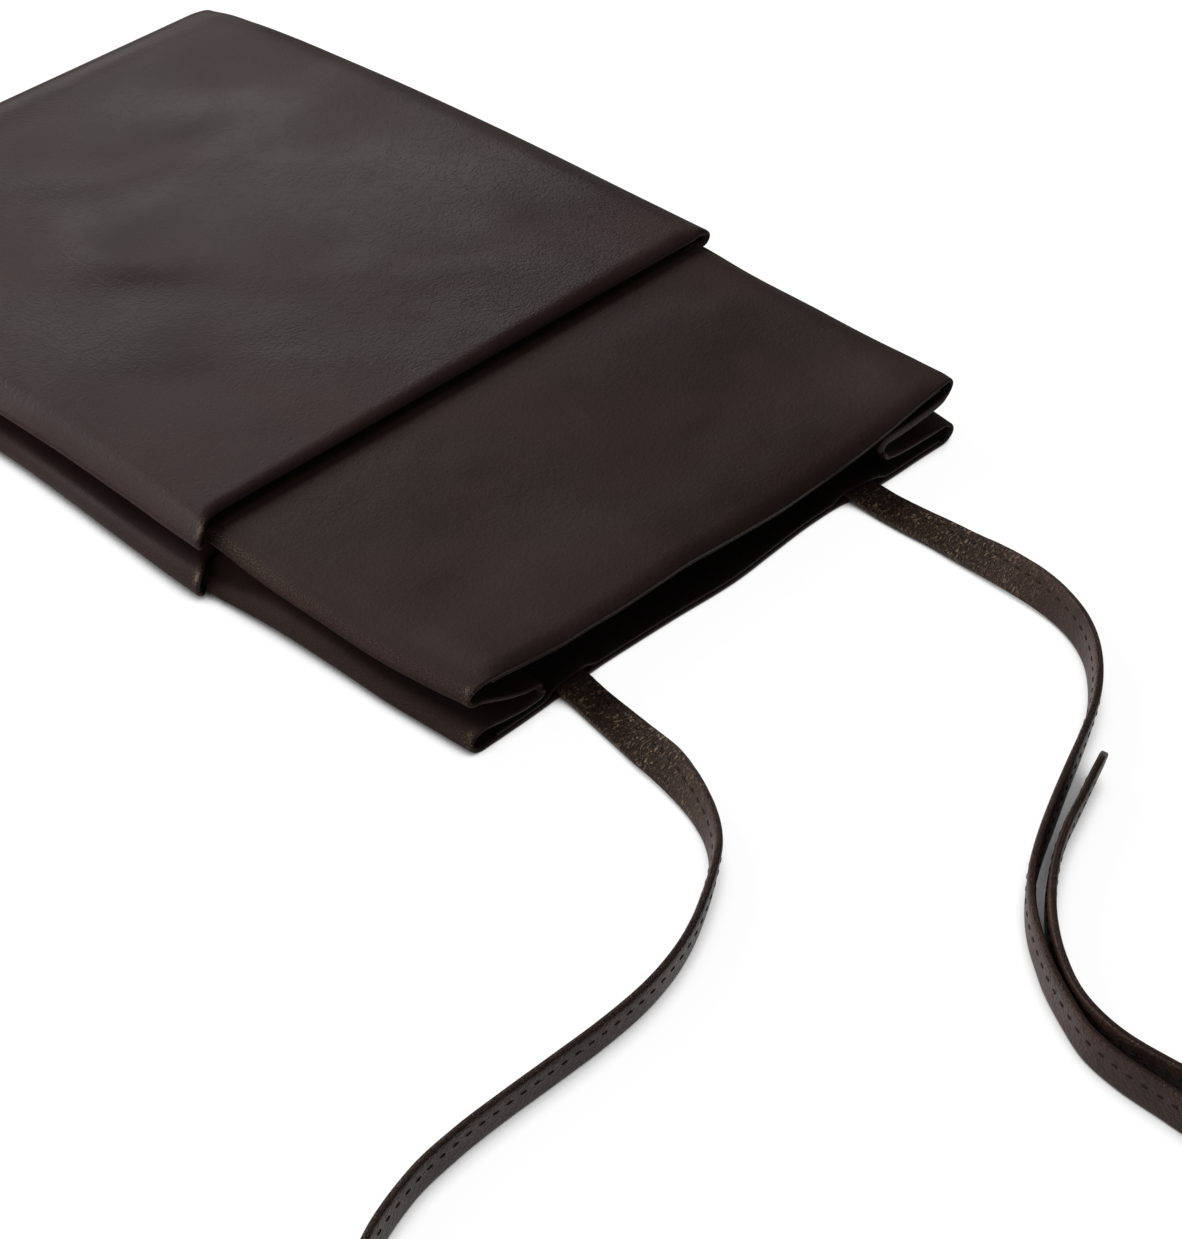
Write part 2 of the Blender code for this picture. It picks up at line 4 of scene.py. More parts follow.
import bpy
import numpy as np
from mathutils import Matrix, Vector


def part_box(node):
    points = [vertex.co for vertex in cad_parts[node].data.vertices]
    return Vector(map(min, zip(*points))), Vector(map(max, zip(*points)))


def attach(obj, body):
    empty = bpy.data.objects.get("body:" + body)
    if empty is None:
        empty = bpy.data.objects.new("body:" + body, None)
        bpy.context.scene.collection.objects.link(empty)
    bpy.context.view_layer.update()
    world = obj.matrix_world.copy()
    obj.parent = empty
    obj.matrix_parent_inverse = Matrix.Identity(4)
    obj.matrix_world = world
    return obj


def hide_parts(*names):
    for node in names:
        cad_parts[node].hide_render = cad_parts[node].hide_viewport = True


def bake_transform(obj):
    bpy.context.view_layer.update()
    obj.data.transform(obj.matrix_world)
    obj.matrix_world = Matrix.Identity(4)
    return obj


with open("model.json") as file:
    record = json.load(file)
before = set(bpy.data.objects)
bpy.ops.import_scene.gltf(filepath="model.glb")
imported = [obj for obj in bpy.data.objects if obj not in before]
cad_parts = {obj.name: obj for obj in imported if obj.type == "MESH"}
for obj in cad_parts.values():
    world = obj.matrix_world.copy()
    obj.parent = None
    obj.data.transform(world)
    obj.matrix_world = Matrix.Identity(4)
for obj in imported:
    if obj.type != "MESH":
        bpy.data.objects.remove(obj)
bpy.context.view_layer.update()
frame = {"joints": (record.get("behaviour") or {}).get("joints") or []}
print("frame loaded")

mm = 0.001
# places on the pouch, read from the frame
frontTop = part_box("front_body_panel")[1].z
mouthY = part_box("front_mouth_panel")[0].y
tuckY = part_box("back_body_panel")[0].y
endY, endMiddle = frame["joints"][0]["pos_m"][1:]  # the joint runs along the closed end
strapPlaces = (-52.0 * mm, 47.0 * mm)  # x of the left and of the right strap's root


# small helpers that every piece uses

def addObject(name, data):
    obj = bpy.data.objects.new(name, data)
    bpy.context.scene.collection.objects.link(obj)
    return obj


def aim(obj, place, ahead):
    # puts a camera or lamp at a place, looking ahead
    obj.location = place
    obj.rotation_mode = "QUATERNION"
    obj.rotation_quaternion = ahead.to_track_quat("-Z", "Y")


def softStep(t):
    # 0 below 0, 1 above 1, and 3t^2 - 2t^3 between
    t = np.clip(t, 0.0, 1.0)
    return t * t * (3.0 - 2.0 * t)


def bell(distance, width):
    # 1 at no distance, falling as e to the power of minus the square of distance / width
    return np.exp(-(distance / width) ** 2)


def smoothRead(table, places):
    # cubic curve through the rows of a table, whose slope at each row is that between its neighbours
    xs, ys = np.array(table, float).T
    slopes = np.gradient(ys, xs)
    places = np.clip(places, xs[0], xs[-1])
    i = np.clip(np.searchsorted(xs, places, side="right") - 1, 0, len(xs) - 2)
    h = xs[i + 1] - xs[i]
    t = (places - xs[i]) / h
    return ((2 * t**3 - 3 * t**2 + 1) * ys[i] + (t**3 - 2 * t**2 + t) * h * slopes[i]
            + (3 * t**2 - 2 * t**3) * ys[i + 1] + (t**3 - t**2) * h * slopes[i + 1])


def softNoise(u, v, size, seed, cells=64, shift=1000.0):
    # random heights on a square lattice of so many cells, eased between its corners; size is its step
    heights = np.random.default_rng(seed).uniform(-1.0, 1.0, (cells, cells))
    a, b = u / size + shift, v / size + shift
    i, j = np.floor(a).astype(int), np.floor(b).astype(int)
    s, t = softStep(a - i), softStep(b - j)
    corner = lambda p, q: heights[p % cells, q % cells]
    low = corner(i, j) * (1 - s) + corner(i + 1, j) * s
    high = corner(i, j + 1) * (1 - s) + corner(i + 1, j + 1) * s
    return low * (1 - t) + high * t


def runAlong(points, axis):
    # length walked along one grid direction
    steps = np.linalg.norm(np.diff(points, axis=axis), axis=2)
    zero = np.zeros_like(np.take(steps, [0], axis=axis))
    return np.concatenate([zero, np.cumsum(steps, axis=axis)], axis=axis)


def gridNormals(points):
    # cross product of the two grid directions, at unit length
    n = np.cross(np.gradient(points, axis=1), np.gradient(points, axis=0))
    return n / np.maximum(np.linalg.norm(n, axis=2, keepdims=True), 1e-12)


def gridQuads(n):
    # the four point numbers of every cell of a grid of point numbers
    return np.stack([n[:-1, :-1], n[:-1, 1:], n[1:, 1:], n[1:, :-1]], axis=2).reshape(-1, 4)


def tubeQuads(rows, cols):
    # point numbers of a tube's rings, the same moved on by one round each ring, and the tube's quads
    n = np.arange(rows * cols).reshape(rows, cols)
    m = np.roll(n, -1, axis=1)
    return n, m, np.stack([n[:-1], m[:-1], m[1:], n[1:]], axis=2).reshape(-1, 4)


def makeMesh(name, points, faces, uv, values, material):
    # puts whole arrays into one mesh: points, a list of faces, a uv and named values for each point
    mesh = bpy.data.meshes.new(name)
    mesh.from_pydata(points.tolist(), [], faces)
    layer = mesh.uv_layers.new(name="UVMap")
    loopPoints = np.zeros(len(mesh.loops), np.int32)
    mesh.loops.foreach_get("vertex_index", loopPoints)
    layer.data.foreach_set("uv", uv[loopPoints].astype(np.float32).ravel())
    for key, array in values.items():
        mesh.attributes.new(key, "FLOAT", "POINT").data.foreach_set("value", array.astype(np.float32))
    mesh.polygons.foreach_set("use_smooth", np.ones(len(mesh.polygons), bool))
    mesh.materials.append(material)
    mesh.validate()
    mesh.update()
    return addObject(name, mesh)


def leatherSheet(name, middle, outside, inside, rim, material, values):
    # Two skins on either side of a middle surface. Near the border each skin's distance eases to
    # nothing as a quarter circle, so that the skins meet in a round edge and share its points.
    rows, cols = middle.shape[:2]
    inner = (rows - 2) * (cols - 2)
    runU, runV = runAlong(middle, 1), runAlong(middle, 0)
    toEdge = np.minimum(np.minimum(runU, runU[:, -1:] - runU), np.minimum(runV, runV[-1:] - runV))
    ease = np.sqrt(1.0 - (1.0 - np.clip(toEdge / rim, 0.0, 1.0)) ** 2)
    normal = gridNormals(middle)
    upper = middle + normal * (outside * ease)[..., None]
    lower = middle - normal * (inside * ease)[..., None]
    numbers = np.arange(rows * cols).reshape(rows, cols)
    under = numbers.copy()
    under[1:-1, 1:-1] = rows * cols + np.arange(inner).reshape(rows - 2, cols - 2)
    faces = np.concatenate([gridQuads(numbers), gridQuads(under)[:, ::-1]])
    points = np.concatenate([upper.reshape(-1, 3), lower[1:-1, 1:-1].reshape(-1, 3)])
    centre = runU[:, cols // 2][:, None]
    uv = np.stack([runU - centre, np.broadcast_to(runV[:, cols // 2][:, None], runU.shape)], axis=2)
    both = lambda a: np.concatenate([a.reshape(rows * cols, -1), a[1:-1, 1:-1].reshape(inner, -1)])
    values = {key: both(array)[:, 0] for key, array in values.items()}
    return makeMesh(name, points, faces.tolist(), both(uv), values, material)


# materials

def newMaterial(name):
    made = bpy.data.materials.new(name)
    made.use_nodes = True
    return made, made.node_tree


def fill(tree, node, inputs):
    # gives inputs of a node a number, a colour or the output of another node
    for key, value in inputs.items():
        socket = node.inputs[key]
        if isinstance(value, bpy.types.NodeSocket):
            tree.links.new(value, socket)
        else:
            socket.default_value = (*value, 1.0) if socket.type == "RGBA" else value


def addNode(tree, kind, inputs={}, **settings):
    node = tree.nodes.new("ShaderNode" + kind)
    for key, value in settings.items():
        setattr(node, key, value)
    fill(tree, node, inputs)
    return node


def maths(tree, kind, a, b):
    return addNode(tree, "Math", {0: a, 1: b}, operation=kind).outputs["Value"]


# camera

camera = {
    "focalPixels": 3400.0,
    "frameLongSide": 1239.0,
    "sensor": 36.0,
    "clip": (0.01, 20.0),
    "azimuth": -46.117,
    "elevation": 38.693,
    "fromMouth": (-0.46708, -0.40542, 0.48425),  # y counted from the mouth's edge
}


def makeCamera(c):
    made = bpy.data.cameras.new("camera")
    made.sensor_width = c["sensor"]
    made.lens = c["focalPixels"] * c["sensor"] / c["frameLongSide"]
    made.clip_start, made.clip_end = c["clip"]
    a, e = math.radians(c["azimuth"]), math.radians(c["elevation"])
    back = Vector((math.sin(a) * math.cos(e), -math.cos(a) * math.cos(e), math.sin(e)))
    x, y, z = c["fromMouth"]
    obj = addObject("camera", made)
    aim(obj, (x, mouthY + y, z), -back)
    bpy.context.scene.camera = obj


makeCamera(camera)


# leather

# detail and distortion of each noise, and the readings between which each value goes from 0 to 1
grainNoises = {"crease": (4.0, 1.2), "crinkle": (4.0, 0.9), "cluster": (2.0, 0.0), "drift": (2.0, 0.4),
               "speckle": (2.0, 0.0), "sheen": (1.5, 0.6)}
grainRanges = {"pebble": (0.15, 0.75), "crease": (0.0, 0.05), "fold": (0.35, 0.65), "fleck": (0.52, 0.62),
               "cluster": (0.38, 0.62), "drift": (0.3, 0.7), "speckle": (0.42, 0.66),
               "heavyWearAndGlint": (0.8, 1.5), "sheen": (0.32, 0.68)}


def leather(name, look):
    # dyed leather: pebble grain and fine creases in the bump, slow drifts of colour and gloss,
    # and a paler rubbed colour where the piece's wear value meets a fine speckle; the same pale colour
    # also paints highlights where a piece pushes its wear value high
    made, tree = newMaterial(name)
    uv = addNode(tree, "UVMap", uv_map="UVMap").outputs["UV"]

    def noise(kind, place=uv):
        detail, distortion = grainNoises[kind]
        return addNode(tree, "TexNoise", {"Vector": place, "Scale": 1.0 / look[kind], "Detail": detail,
                                          "Distortion": distortion}).outputs["Fac"]

    def mapped(value, kind, toLow=0.0, toHigh=1.0):
        low, high = grainRanges[kind]
        return addNode(tree, "MapRange", {"Value": value, "From Min": low, "From Max": high, "To Min": toLow,
                                          "To Max": toHigh}, interpolation_type="SMOOTHSTEP").outputs[0]

    def mixed(factor, a, b):
        # a colour mix has its factor in socket 0, its colours in 6 and 7 and its result in 2
        return addNode(tree, "Mix", {0: factor, 6: a, 7: b}, data_type="RGBA").outputs[2]

    # values that the piece carries at each of its points
    wear, crinkle, dull = (addNode(tree, "Attribute", attribute_name=key).outputs["Fac"]
                           for key in ("wear", "crinkle", "dull"))

    # relief: pebbles from smooth cells, creases where a noise passes its middle, and crinkled folds
    cells = addNode(tree, "TexVoronoi", feature="SMOOTH_F1")
    fill(tree, cells, {"Vector": uv, "Scale": 1.0 / look["pebble"], "Smoothness": look["pebbleSmooth"]})
    pebbles = mapped(cells.outputs["Distance"], "pebble", 1.0, 0.0)
    fromMiddle = maths(tree, "ABSOLUTE", maths(tree, "SUBTRACT", noise("crease"), 0.5), 0.0)
    height = maths(tree, "ADD", maths(tree, "MULTIPLY", pebbles, look["pebbleHeight"]),
                   maths(tree, "MULTIPLY", mapped(fromMiddle, "crease"), look["creaseHeight"]))
    stretched = addNode(tree, "Mapping", {"Vector": uv, "Scale": look["crinkleStretch"]})
    creased = noise("crinkle", stretched.outputs["Vector"])
    folds = maths(tree, "MULTIPLY", mapped(creased, "fold"), look["crinkleHeight"])
    height = maths(tree, "ADD", height, maths(tree, "MULTIPLY", folds, crinkle))
    bump = addNode(tree, "Bump", {"Height": height, "Distance": look["bump"], "Strength": 1.0})

    # colour: light wear shows as specks, heavy wear as one smooth rubbed line, which also carries
    # the painted highlights that some pieces put into their wear value, and crinkled leather is rubbed
    # in flecks on the ridges of its folds
    ground = mixed(mapped(noise("drift"), "drift"), look["deep"], look["warm"])
    clusters = maths(tree, "MULTIPLY", mapped(noise("cluster"), "cluster", look["fewestFlecks"]), crinkle)
    flecks = maths(tree, "MULTIPLY", mapped(creased, "fleck"), clusters)
    specks = maths(tree, "MULTIPLY", wear, mapped(noise("speckle"), "speckle"))
    rubbed = maths(tree, "MAXIMUM", maths(tree, "MAXIMUM", specks, mapped(wear, "heavyWearAndGlint")), flecks)

    # gloss: slow patches, duller where the piece says so
    patches = mapped(noise("sheen"), "sheen", look["glossy"], look["matt"])
    fill(tree, tree.nodes["Principled BSDF"], {
        "Base Color": mixed(rubbed, ground, look["rubbed"]), "Normal": bump.outputs["Normal"],
        "Roughness": maths(tree, "ADD", patches, maths(tree, "MULTIPLY", dull, look["dulled"])),
        "Specular IOR Level": look["specular"]})
    return made


bodyLook = {
    # rubbed is the colour of wear, and also of the painted highlights on the left corners
    "deep": (0.0255, 0.0122, 0.0124), "warm": (0.0375, 0.0180, 0.0178), "rubbed": (0.17, 0.125, 0.085),
    # size of each pattern, in metres
    "pebble": 0.00085, "crease": 0.0055, "crinkle": 0.00062, "cluster": 0.00496, "drift": 0.045,
    "speckle": 0.0004, "sheen": 0.050,
    # relief as shares of the bump, which is in metres
    "pebbleHeight": 0.10, "creaseHeight": 0.10, "crinkleHeight": 2.2, "bump": 0.00020,
    "pebbleSmooth": 0.35, "crinkleStretch": (0.6, 1.0, 1.0), "fewestFlecks": 0.40,
    # roughness at the glossy and matt patches and what dull leather adds, then the reflection's level
    "glossy": 0.33, "matt": 0.46, "dulled": 0.30, "specular": 0.18,
}
# mouth leather: rougher than the body's, and a little darker in colour as painted shade for the weaker sheen
# on the mouth
shadedMouthLook = dict(bodyLook, deep=(0.0240, 0.0125, 0.0110), warm=(0.0335, 0.0176, 0.0155), glossy=0.50,
                 matt=0.62, specular=0.17, pebbleHeight=0.14, creaseHeight=0.05)
# inside leather of the facings and the closed seam: much darker, as painted shade for the shadowed inside of
# the pouch
paintedShadeInnerLook = dict(shadedMouthLook, deep=(0.010, 0.0062, 0.0055), warm=(0.016, 0.0100, 0.0090), specular=0.20,
                 glossy=0.65, matt=0.75)
strapLook = dict(bodyLook, deep=(0.0270, 0.0135, 0.0105), warm=(0.0500, 0.0260, 0.0205), drift=0.020,
                 pebbleHeight=0.30, creaseHeight=0.35, bump=0.00026, glossy=0.42, matt=0.55, specular=0.17,
                 rubbed=(0.270, 0.180, 0.115))
bodyLeather = leather("bodyLeather", bodyLook)
shadedMouthLeather = leather("shadedMouthLeather", shadedMouthLook)
paintedShadeInnerLeather = leather("paintedShadeInnerLeather", paintedShadeInnerLook)
strapLeather = leather("strapLeather", strapLook)


# shape of the pouch

pouch = {
    "leather": 1.1 * mm,
    # distance from the tuck, then the middle line's distance to the left and to the right side, in mm
    "frontHalves": ((0, 88.1, 90.0), (8, 87.8, 90.0), (16, 87.3, 90.0), (31, 86.7, 89.9), (47, 86.1, 89.9),
                    (62, 85.9, 89.9), (110, 85.8, 89.9), (198, 85.6, 89.8)),
    "backHalves": ((0, 89.9, 90.0), (8, 89.4, 90.0), (16, 88.8, 90.0), (31, 87.9, 89.9), (47, 86.8, 89.9),
                   (62, 86.0, 89.9), (110, 85.9, 89.9), (198, 85.6, 89.8)),
    "topAtTuck": frontTop,
    "topAtEnd": 2 * endMiddle,
    "endRound": 3.6 * mm,
    "endThin": 0.015,  # share of its height that the last row of the closed end keeps
    "cornerDraw": 2.8 * mm,  # how far the closed end's corners are rounded in
    # height of a side fold of the front and of the back, by distance from the tuck
    "frontLoop": ((0, 6.1), (8, 5.9), (25, 5.6), (198, 5.6)),
    "backLoop": ((0, 7.8), (12, 7.0), (40, 6.5), (198, 6.3)),
    # how far the rounding of a fold runs over the panel, by distance from the tuck
    "overReach": ((0, 4.4), (10, 5.6), (24, 6.5), (198, 6.5)),
    "bevel": 1.30,  # 1 makes a fold a round ellipse, more makes it a bevel
    "underReach": 2.6 * mm,
    "gusset": 25.0 * mm,
    "easeOut": 0.30, "easeIn": 0.35,  # how long a gusset half keeps its direction at its two ends
    "seamCurl": 0.65 * mm,  # radius in which gusset halves turn to each other at their seam
    "foldRoom": 1.0 * mm,  # left free between the front's and the back's side folds
    "hem": 1.0 * mm,  # extra thickness of the turned-in edge at the tuck
    "hemRun": 7.0 * mm,
    "rim": 0.9 * mm,  # radius of the sheet's cut edge
    "sideSpread": 5.0 * mm,  # how far in from a side fold the leather is dull and flared
    "foldSpread": 2.2 * mm,  # and how far the fold's own wear reaches
    # how far the edge at the tuck rolls inwards and over what run: at the side folds, then on the
    # panel beside its left and its right side
    "lipRoll": (0.45 * mm, 1.20 * mm, 1.60 * mm),
    "lipRun": (1.0 * mm, 2.8 * mm, 4.8 * mm),
    "lipPower": 2.2,
    "lipBlend": (8.0 * mm, 180.0 * mm),  # from side fold to panel, and from left to right
    "lipFlare": (4.6 * mm, 5.4 * mm),  # how far the left corners of front and back stand out to the mouth
    "flareRun": 12.0 * mm,
    "riseShares": ((0.0, 1.0), (0.07, 0.985), (0.20, 0.965), (0.31, 0.945), (0.42, 0.90), (0.56, 0.81),
                   (0.70, 0.67), (0.80, 0.55), (0.88, 0.40), (0.94, 0.22), (0.981, 0.0)),
}
noseY = endY - pouch["endRound"]
bodyLength = endY - tuckY
sheetHalf = pouch["leather"] / 2


def bodyTop(y):
    # outside of the front panel: the closed height plus a share of the rise to the tuck
    share = smoothRead(pouch["riseShares"], (y - tuckY) / bodyLength)
    return pouch["topAtEnd"] + (pouch["topAtTuck"] - pouch["topAtEnd"]) * share


def halvesFrom(rows, places):
    # left and right half width of a sheet's middle, read from a table in mm
    return [smoothRead([(row[0], row[k] * mm) for row in rows], places) - sheetHalf for k in (1, 2)]


def rowPlaces(start, rows, end):
    # places of a sheet's rows: close together at its edge, in mm from the start, then even to the end
    even = np.linspace(start + rows["begin"], end, rows["count"])
    return np.concatenate([start + np.array(rows["edge"]) * mm, even])


def cubic(p0, p1, p2, p3, t):
    return (1 - t)**3 * p0 + 3 * (1 - t)**2 * t * p1 + 3 * (1 - t) * t**2 * p2 + t**3 * p3


# points on each stretch of the line across the pouch
counts = {"panel": 116, "over": 14, "under": 9, "run": 20}
curlTurns = np.radians([14, 28, 42, 55, 66, 74, 81, 86, 90])


def acrossPouch(y, halves, panelAt, sides):
    # The leather's line across the pouch at each y, from one gusset seam to the other. The panel
    # follows its own height, each side fold is two quarter ellipses, the upper one drawn in towards
    # a bevel by a power of its sine and cosine, and each gusset half is a cubic from the fold to the
    # seam, which ends in a quarter circle. A fold with a negative loop turns up instead of down.
    y = y[:, None]
    over = np.radians(np.linspace(90, 0, counts["over"] + 1))[1:]
    under = np.radians(np.linspace(0, -90, counts["under"] + 1))[1:]
    t = np.linspace(0, 1, counts["run"] + 1)[1:]
    lines = []
    for sign, side, half in zip((-1, 1), sides, halves):
        half = half[:, None]
        s = {key: np.broadcast_to(value, y[:, 0].shape)[:, None] for key, value in side.items()}
        edge = panelAt(sign * (half - s["overReach"]), y)
        middle, rise = edge - s["loop"] / 2, s["loop"] / 2
        foldX, foldZ = half - s["underReach"], edge - s["loop"]
        tipX = half - s["gusset"]
        run = foldX - tipX
        x = np.concatenate([
            half - s["overReach"] * (1 - np.cos(over) ** s["bevel"]), foldX + s["underReach"] * np.cos(under),
            cubic(foldX, foldX - run * s["easeOut"], tipX + run * s["easeIn"], tipX, t),
            tipX - s["curl"] * np.sin(curlTurns)], axis=1)
        z = np.concatenate([
            middle + rise * np.sin(over) ** s["bevel"], middle + rise * np.sin(under),
            cubic(foldZ, foldZ + s["dip"], s["seam"] + s["dip"] + s["lift"], s["seam"], t),
            s["seam"] - np.sign(s["loop"]) * s["curl"] * (1 - np.cos(curlTurns))], axis=1)
        lines.append((sign * x, z, sign * (half - s["overReach"])))
    share = np.linspace(0, 1, counts["panel"] + 1)
    panelX = lines[0][2] + (lines[1][2] - lines[0][2]) * share
    panelZ = panelAt(panelX, y)
    x = np.concatenate([lines[0][0][:, ::-1], panelX, lines[1][0]], axis=1)
    z = np.concatenate([lines[0][1][:, ::-1], panelZ, lines[1][1]], axis=1)
    return x, z


def toSide(x, halves):
    # distance from each point to the outermost line of its side's fold
    return np.where(x < 0, halves[0][:, None], halves[1][:, None]) - np.abs(x)


# body section

# soft swells and dents of the panel: x, y from the tuck, radius along the slant and across it, height
bodyWaves = (
    (-0.0077, 0.1397, 0.018, 0.009, 0.00065), (-0.0220, 0.0920, 0.020, 0.010, 0.00120),
    (-0.0280, 0.1120, 0.014, 0.009, 0.00040), (0.0430, 0.0960, 0.013, 0.009, 0.00045),
    (0.0120, 0.1130, 0.022, 0.010, -0.00055), (0.0150, 0.0450, 0.030, 0.010, 0.00035),
    (-0.0500, 0.0450, 0.022, 0.010, -0.00040),
)
bodyRelief = {
    "slant": math.radians(-46),
    "stretch": 2,  # of the noise along the slant
    "noise": ((0.00014, 0.016, 11), (0.00005, 0.007, 12)),  # height, size and seed
    # no relief at the borders: full this far from the tuck, the closed end, and the half width after it
    "still": (25 * mm, 20 * mm, 30 * mm, 80 * mm),
}
# wear of the body leather; its corner values are no wear but a painted highlight, a smooth bright crescent on
# the left corner of each lip at the tuck
bodyWearAndGlint = {
    "corner": 1.6, "fold": 0.10, "edge": 0.06,
    "cornerGlintPlace": (0.9 * mm, 0.6 * mm, 1.2 * mm),  # from the edge, then its widths along and upwards
    "cornerGlintHeight": (bodyTop(tuckY) - 1.0 * mm, 6.4 * mm),  # at the front, at the back
    "edgeRun": 0.8 * mm,
}
# where the hem's extra thickness comes in: share of the height at the front, height at the back
hemHeights = {"front": (0.66, 0.10), "back": (2.5 * mm, 2.0 * mm)}
bodyRows = {"edge": (0.0, 0.04, 0.12, 0.25, 0.45, 0.70, 1.0, 1.4, 2.0, 2.8, 3.8), "begin": 5.0 * mm,
            "count": 132}
noseTurns = np.radians(np.array([10, 20, 30, 40, 50, 60, 68, 75, 81, 85, 88, 90.0]))


def bodySides(y, turned):
    # side folds of the body: no taller than half of what the closed end leaves
    room = (bodyTop(y) - pouch["foldRoom"]) / 2 - pouch["leather"]
    loop = smoothRead(pouch["backLoop" if turned else "frontLoop"], (y - tuckY) / mm) * mm
    loop = np.minimum(loop - pouch["leather"], room)
    seam = bodyTop(y) / 2 + (pouch["seamCurl"] if not turned else -pouch["seamCurl"])
    one = {
        "bevel": 1.0 if turned else pouch["bevel"], "underReach": pouch["underReach"],
        "overReach": smoothRead(pouch["overReach"], (y - tuckY) / mm) * mm, "gusset": pouch["gusset"],
        "loop": loop if not turned else -loop, "seam": seam, "easeOut": pouch["easeOut"],
        "easeIn": pouch["easeIn"], "dip": 0.0, "lift": 0.0, "curl": pouch["seamCurl"],
    }
    return one, one


def bodyFrontHeight(x, y):
    # middle of the front panel: its outside less half the leather, plus bells turned by the slant and
    # a finer noise, both faded out towards the borders
    d = y - tuckY
    fromTuck, fromEnd, fromSide, half = bodyRelief["still"]
    still = softStep(d / fromTuck) * softStep((noseY - y) / fromEnd) * softStep((half - np.abs(x)) / fromSide)
    cosine, sine = math.cos(bodyRelief["slant"]), math.sin(bodyRelief["slant"])
    slant = lambda a, b: (a * cosine + b * sine, b * cosine - a * sine)
    z = bodyTop(y) - sheetHalf + 0.0 * x
    for px, py, along, across, high in bodyWaves:
        u, v = slant(x - px, d - py)
        z = z + still * high * bell(u, along) * bell(v, across)
    u, v = slant(x, y)
    for high, size, seed in bodyRelief["noise"]:
        z = z + still * high * softNoise(u / bodyRelief["stretch"], v, size, seed)
    return z


def bodyBackHeight(x, y):
    return sheetHalf + 0.0 * x + 0.0 * y


def closedNose(x, z, y, halves):
    # rows round the closed end: heights shrink to the middle line as y runs out to the end
    reach = pouch["endRound"] - sheetHalf
    turn = noseTurns[:, None]
    narrow = 1 - pouch["cornerDraw"] * (1 - np.cos(turn)) / halves[0][-1]
    noseZ = endMiddle + (z[-1] - endMiddle) * np.maximum(np.cos(turn), pouch["endThin"])
    noseX = x[-1] * narrow
    x, z = np.concatenate([x, noseX]), np.concatenate([z, noseZ])
    y = np.concatenate([y, noseY + reach * np.sin(noseTurns)])
    return x, z, y


def makeBodyLeather(name, turned):
    y = rowPlaces(tuckY, bodyRows, noseY)
    halves = halvesFrom(pouch["backHalves" if turned else "frontHalves"], (y - tuckY) / mm)
    x, z = acrossPouch(y, halves, bodyBackHeight if turned else bodyFrontHeight, bodySides(y, turned))
    x, z, y = closedNose(x, z, y, halves)
    middle = np.stack([x, np.broadcast_to(y[:, None], x.shape), z], axis=2)
    if turned:
        middle = middle[:, ::-1]
    halves = [np.concatenate([half, np.full(len(noseTurns), half[-1])]) for half in halves]

    # the edge at the tuck rolls inwards, by amounts eased from the folds to the panel and across it
    d = np.clip(middle[..., 1] - tuckY, 0, None)
    toPanel, toRight = pouch["lipBlend"]
    flat = softStep(toSide(middle[..., 0], halves) / toPanel)
    across = softStep(middle[..., 0] / toRight + 0.5)
    eased = lambda fold, left, right: fold + (left + (right - left) * across - fold) * flat
    roll = eased(*pouch["lipRoll"]) * np.clip(1 - d / eased(*pouch["lipRun"]), 0, 1) ** pouch["lipPower"]
    middle = middle - gridNormals(middle) * roll[..., None]

    # and its left corner stands out towards the mouth
    fromSide, height = toSide(middle[..., 0], halves), middle[..., 2]
    onLeft = middle[..., 0] < 0
    wide = bell(fromSide, pouch["sideSpread"])
    flare = pouch["lipFlare"][int(turned)] * (1 - softStep(d / pouch["flareRun"]))
    middle[..., 1] -= flare * wide * onLeft

    if turned:
        low, run = hemHeights["back"]
        onPanel = 1 - softStep((height - low) / run)
    else:
        low, run = hemHeights["front"]
        onPanel = softStep((height / bodyTop(y)[:, None] - low) / run)
    inside = sheetHalf + pouch["hem"] * onPanel * (1 - softStep(d / pouch["hemRun"]))
    w = bodyWearAndGlint
    place, along, upwards = w["cornerGlintPlace"]
    # the corner value is a painted highlight: a bright crescent on the lip's left corner, pushed past full
    # wear so that it shows as one smooth pale line
    corner = bell(d - place, along) * bell(height - w["cornerGlintHeight"][int(turned)], upwards) * wide * onLeft
    wear = (w["corner"] * corner + w["fold"] * bell(fromSide, pouch["foldSpread"])
            + w["edge"] * np.exp(-d / w["edgeRun"]))
    return leatherSheet(name, middle, sheetHalf, inside, pouch["rim"], bodyLeather,
                        {"wear": wear, "crinkle": 0.0 * wear, "dull": wide})


bodyFront = makeBodyLeather("bodyFrontLeather", False)
bodyBack = makeBodyLeather("bodyBackLeather", True)
print("body section made")


# mouth section

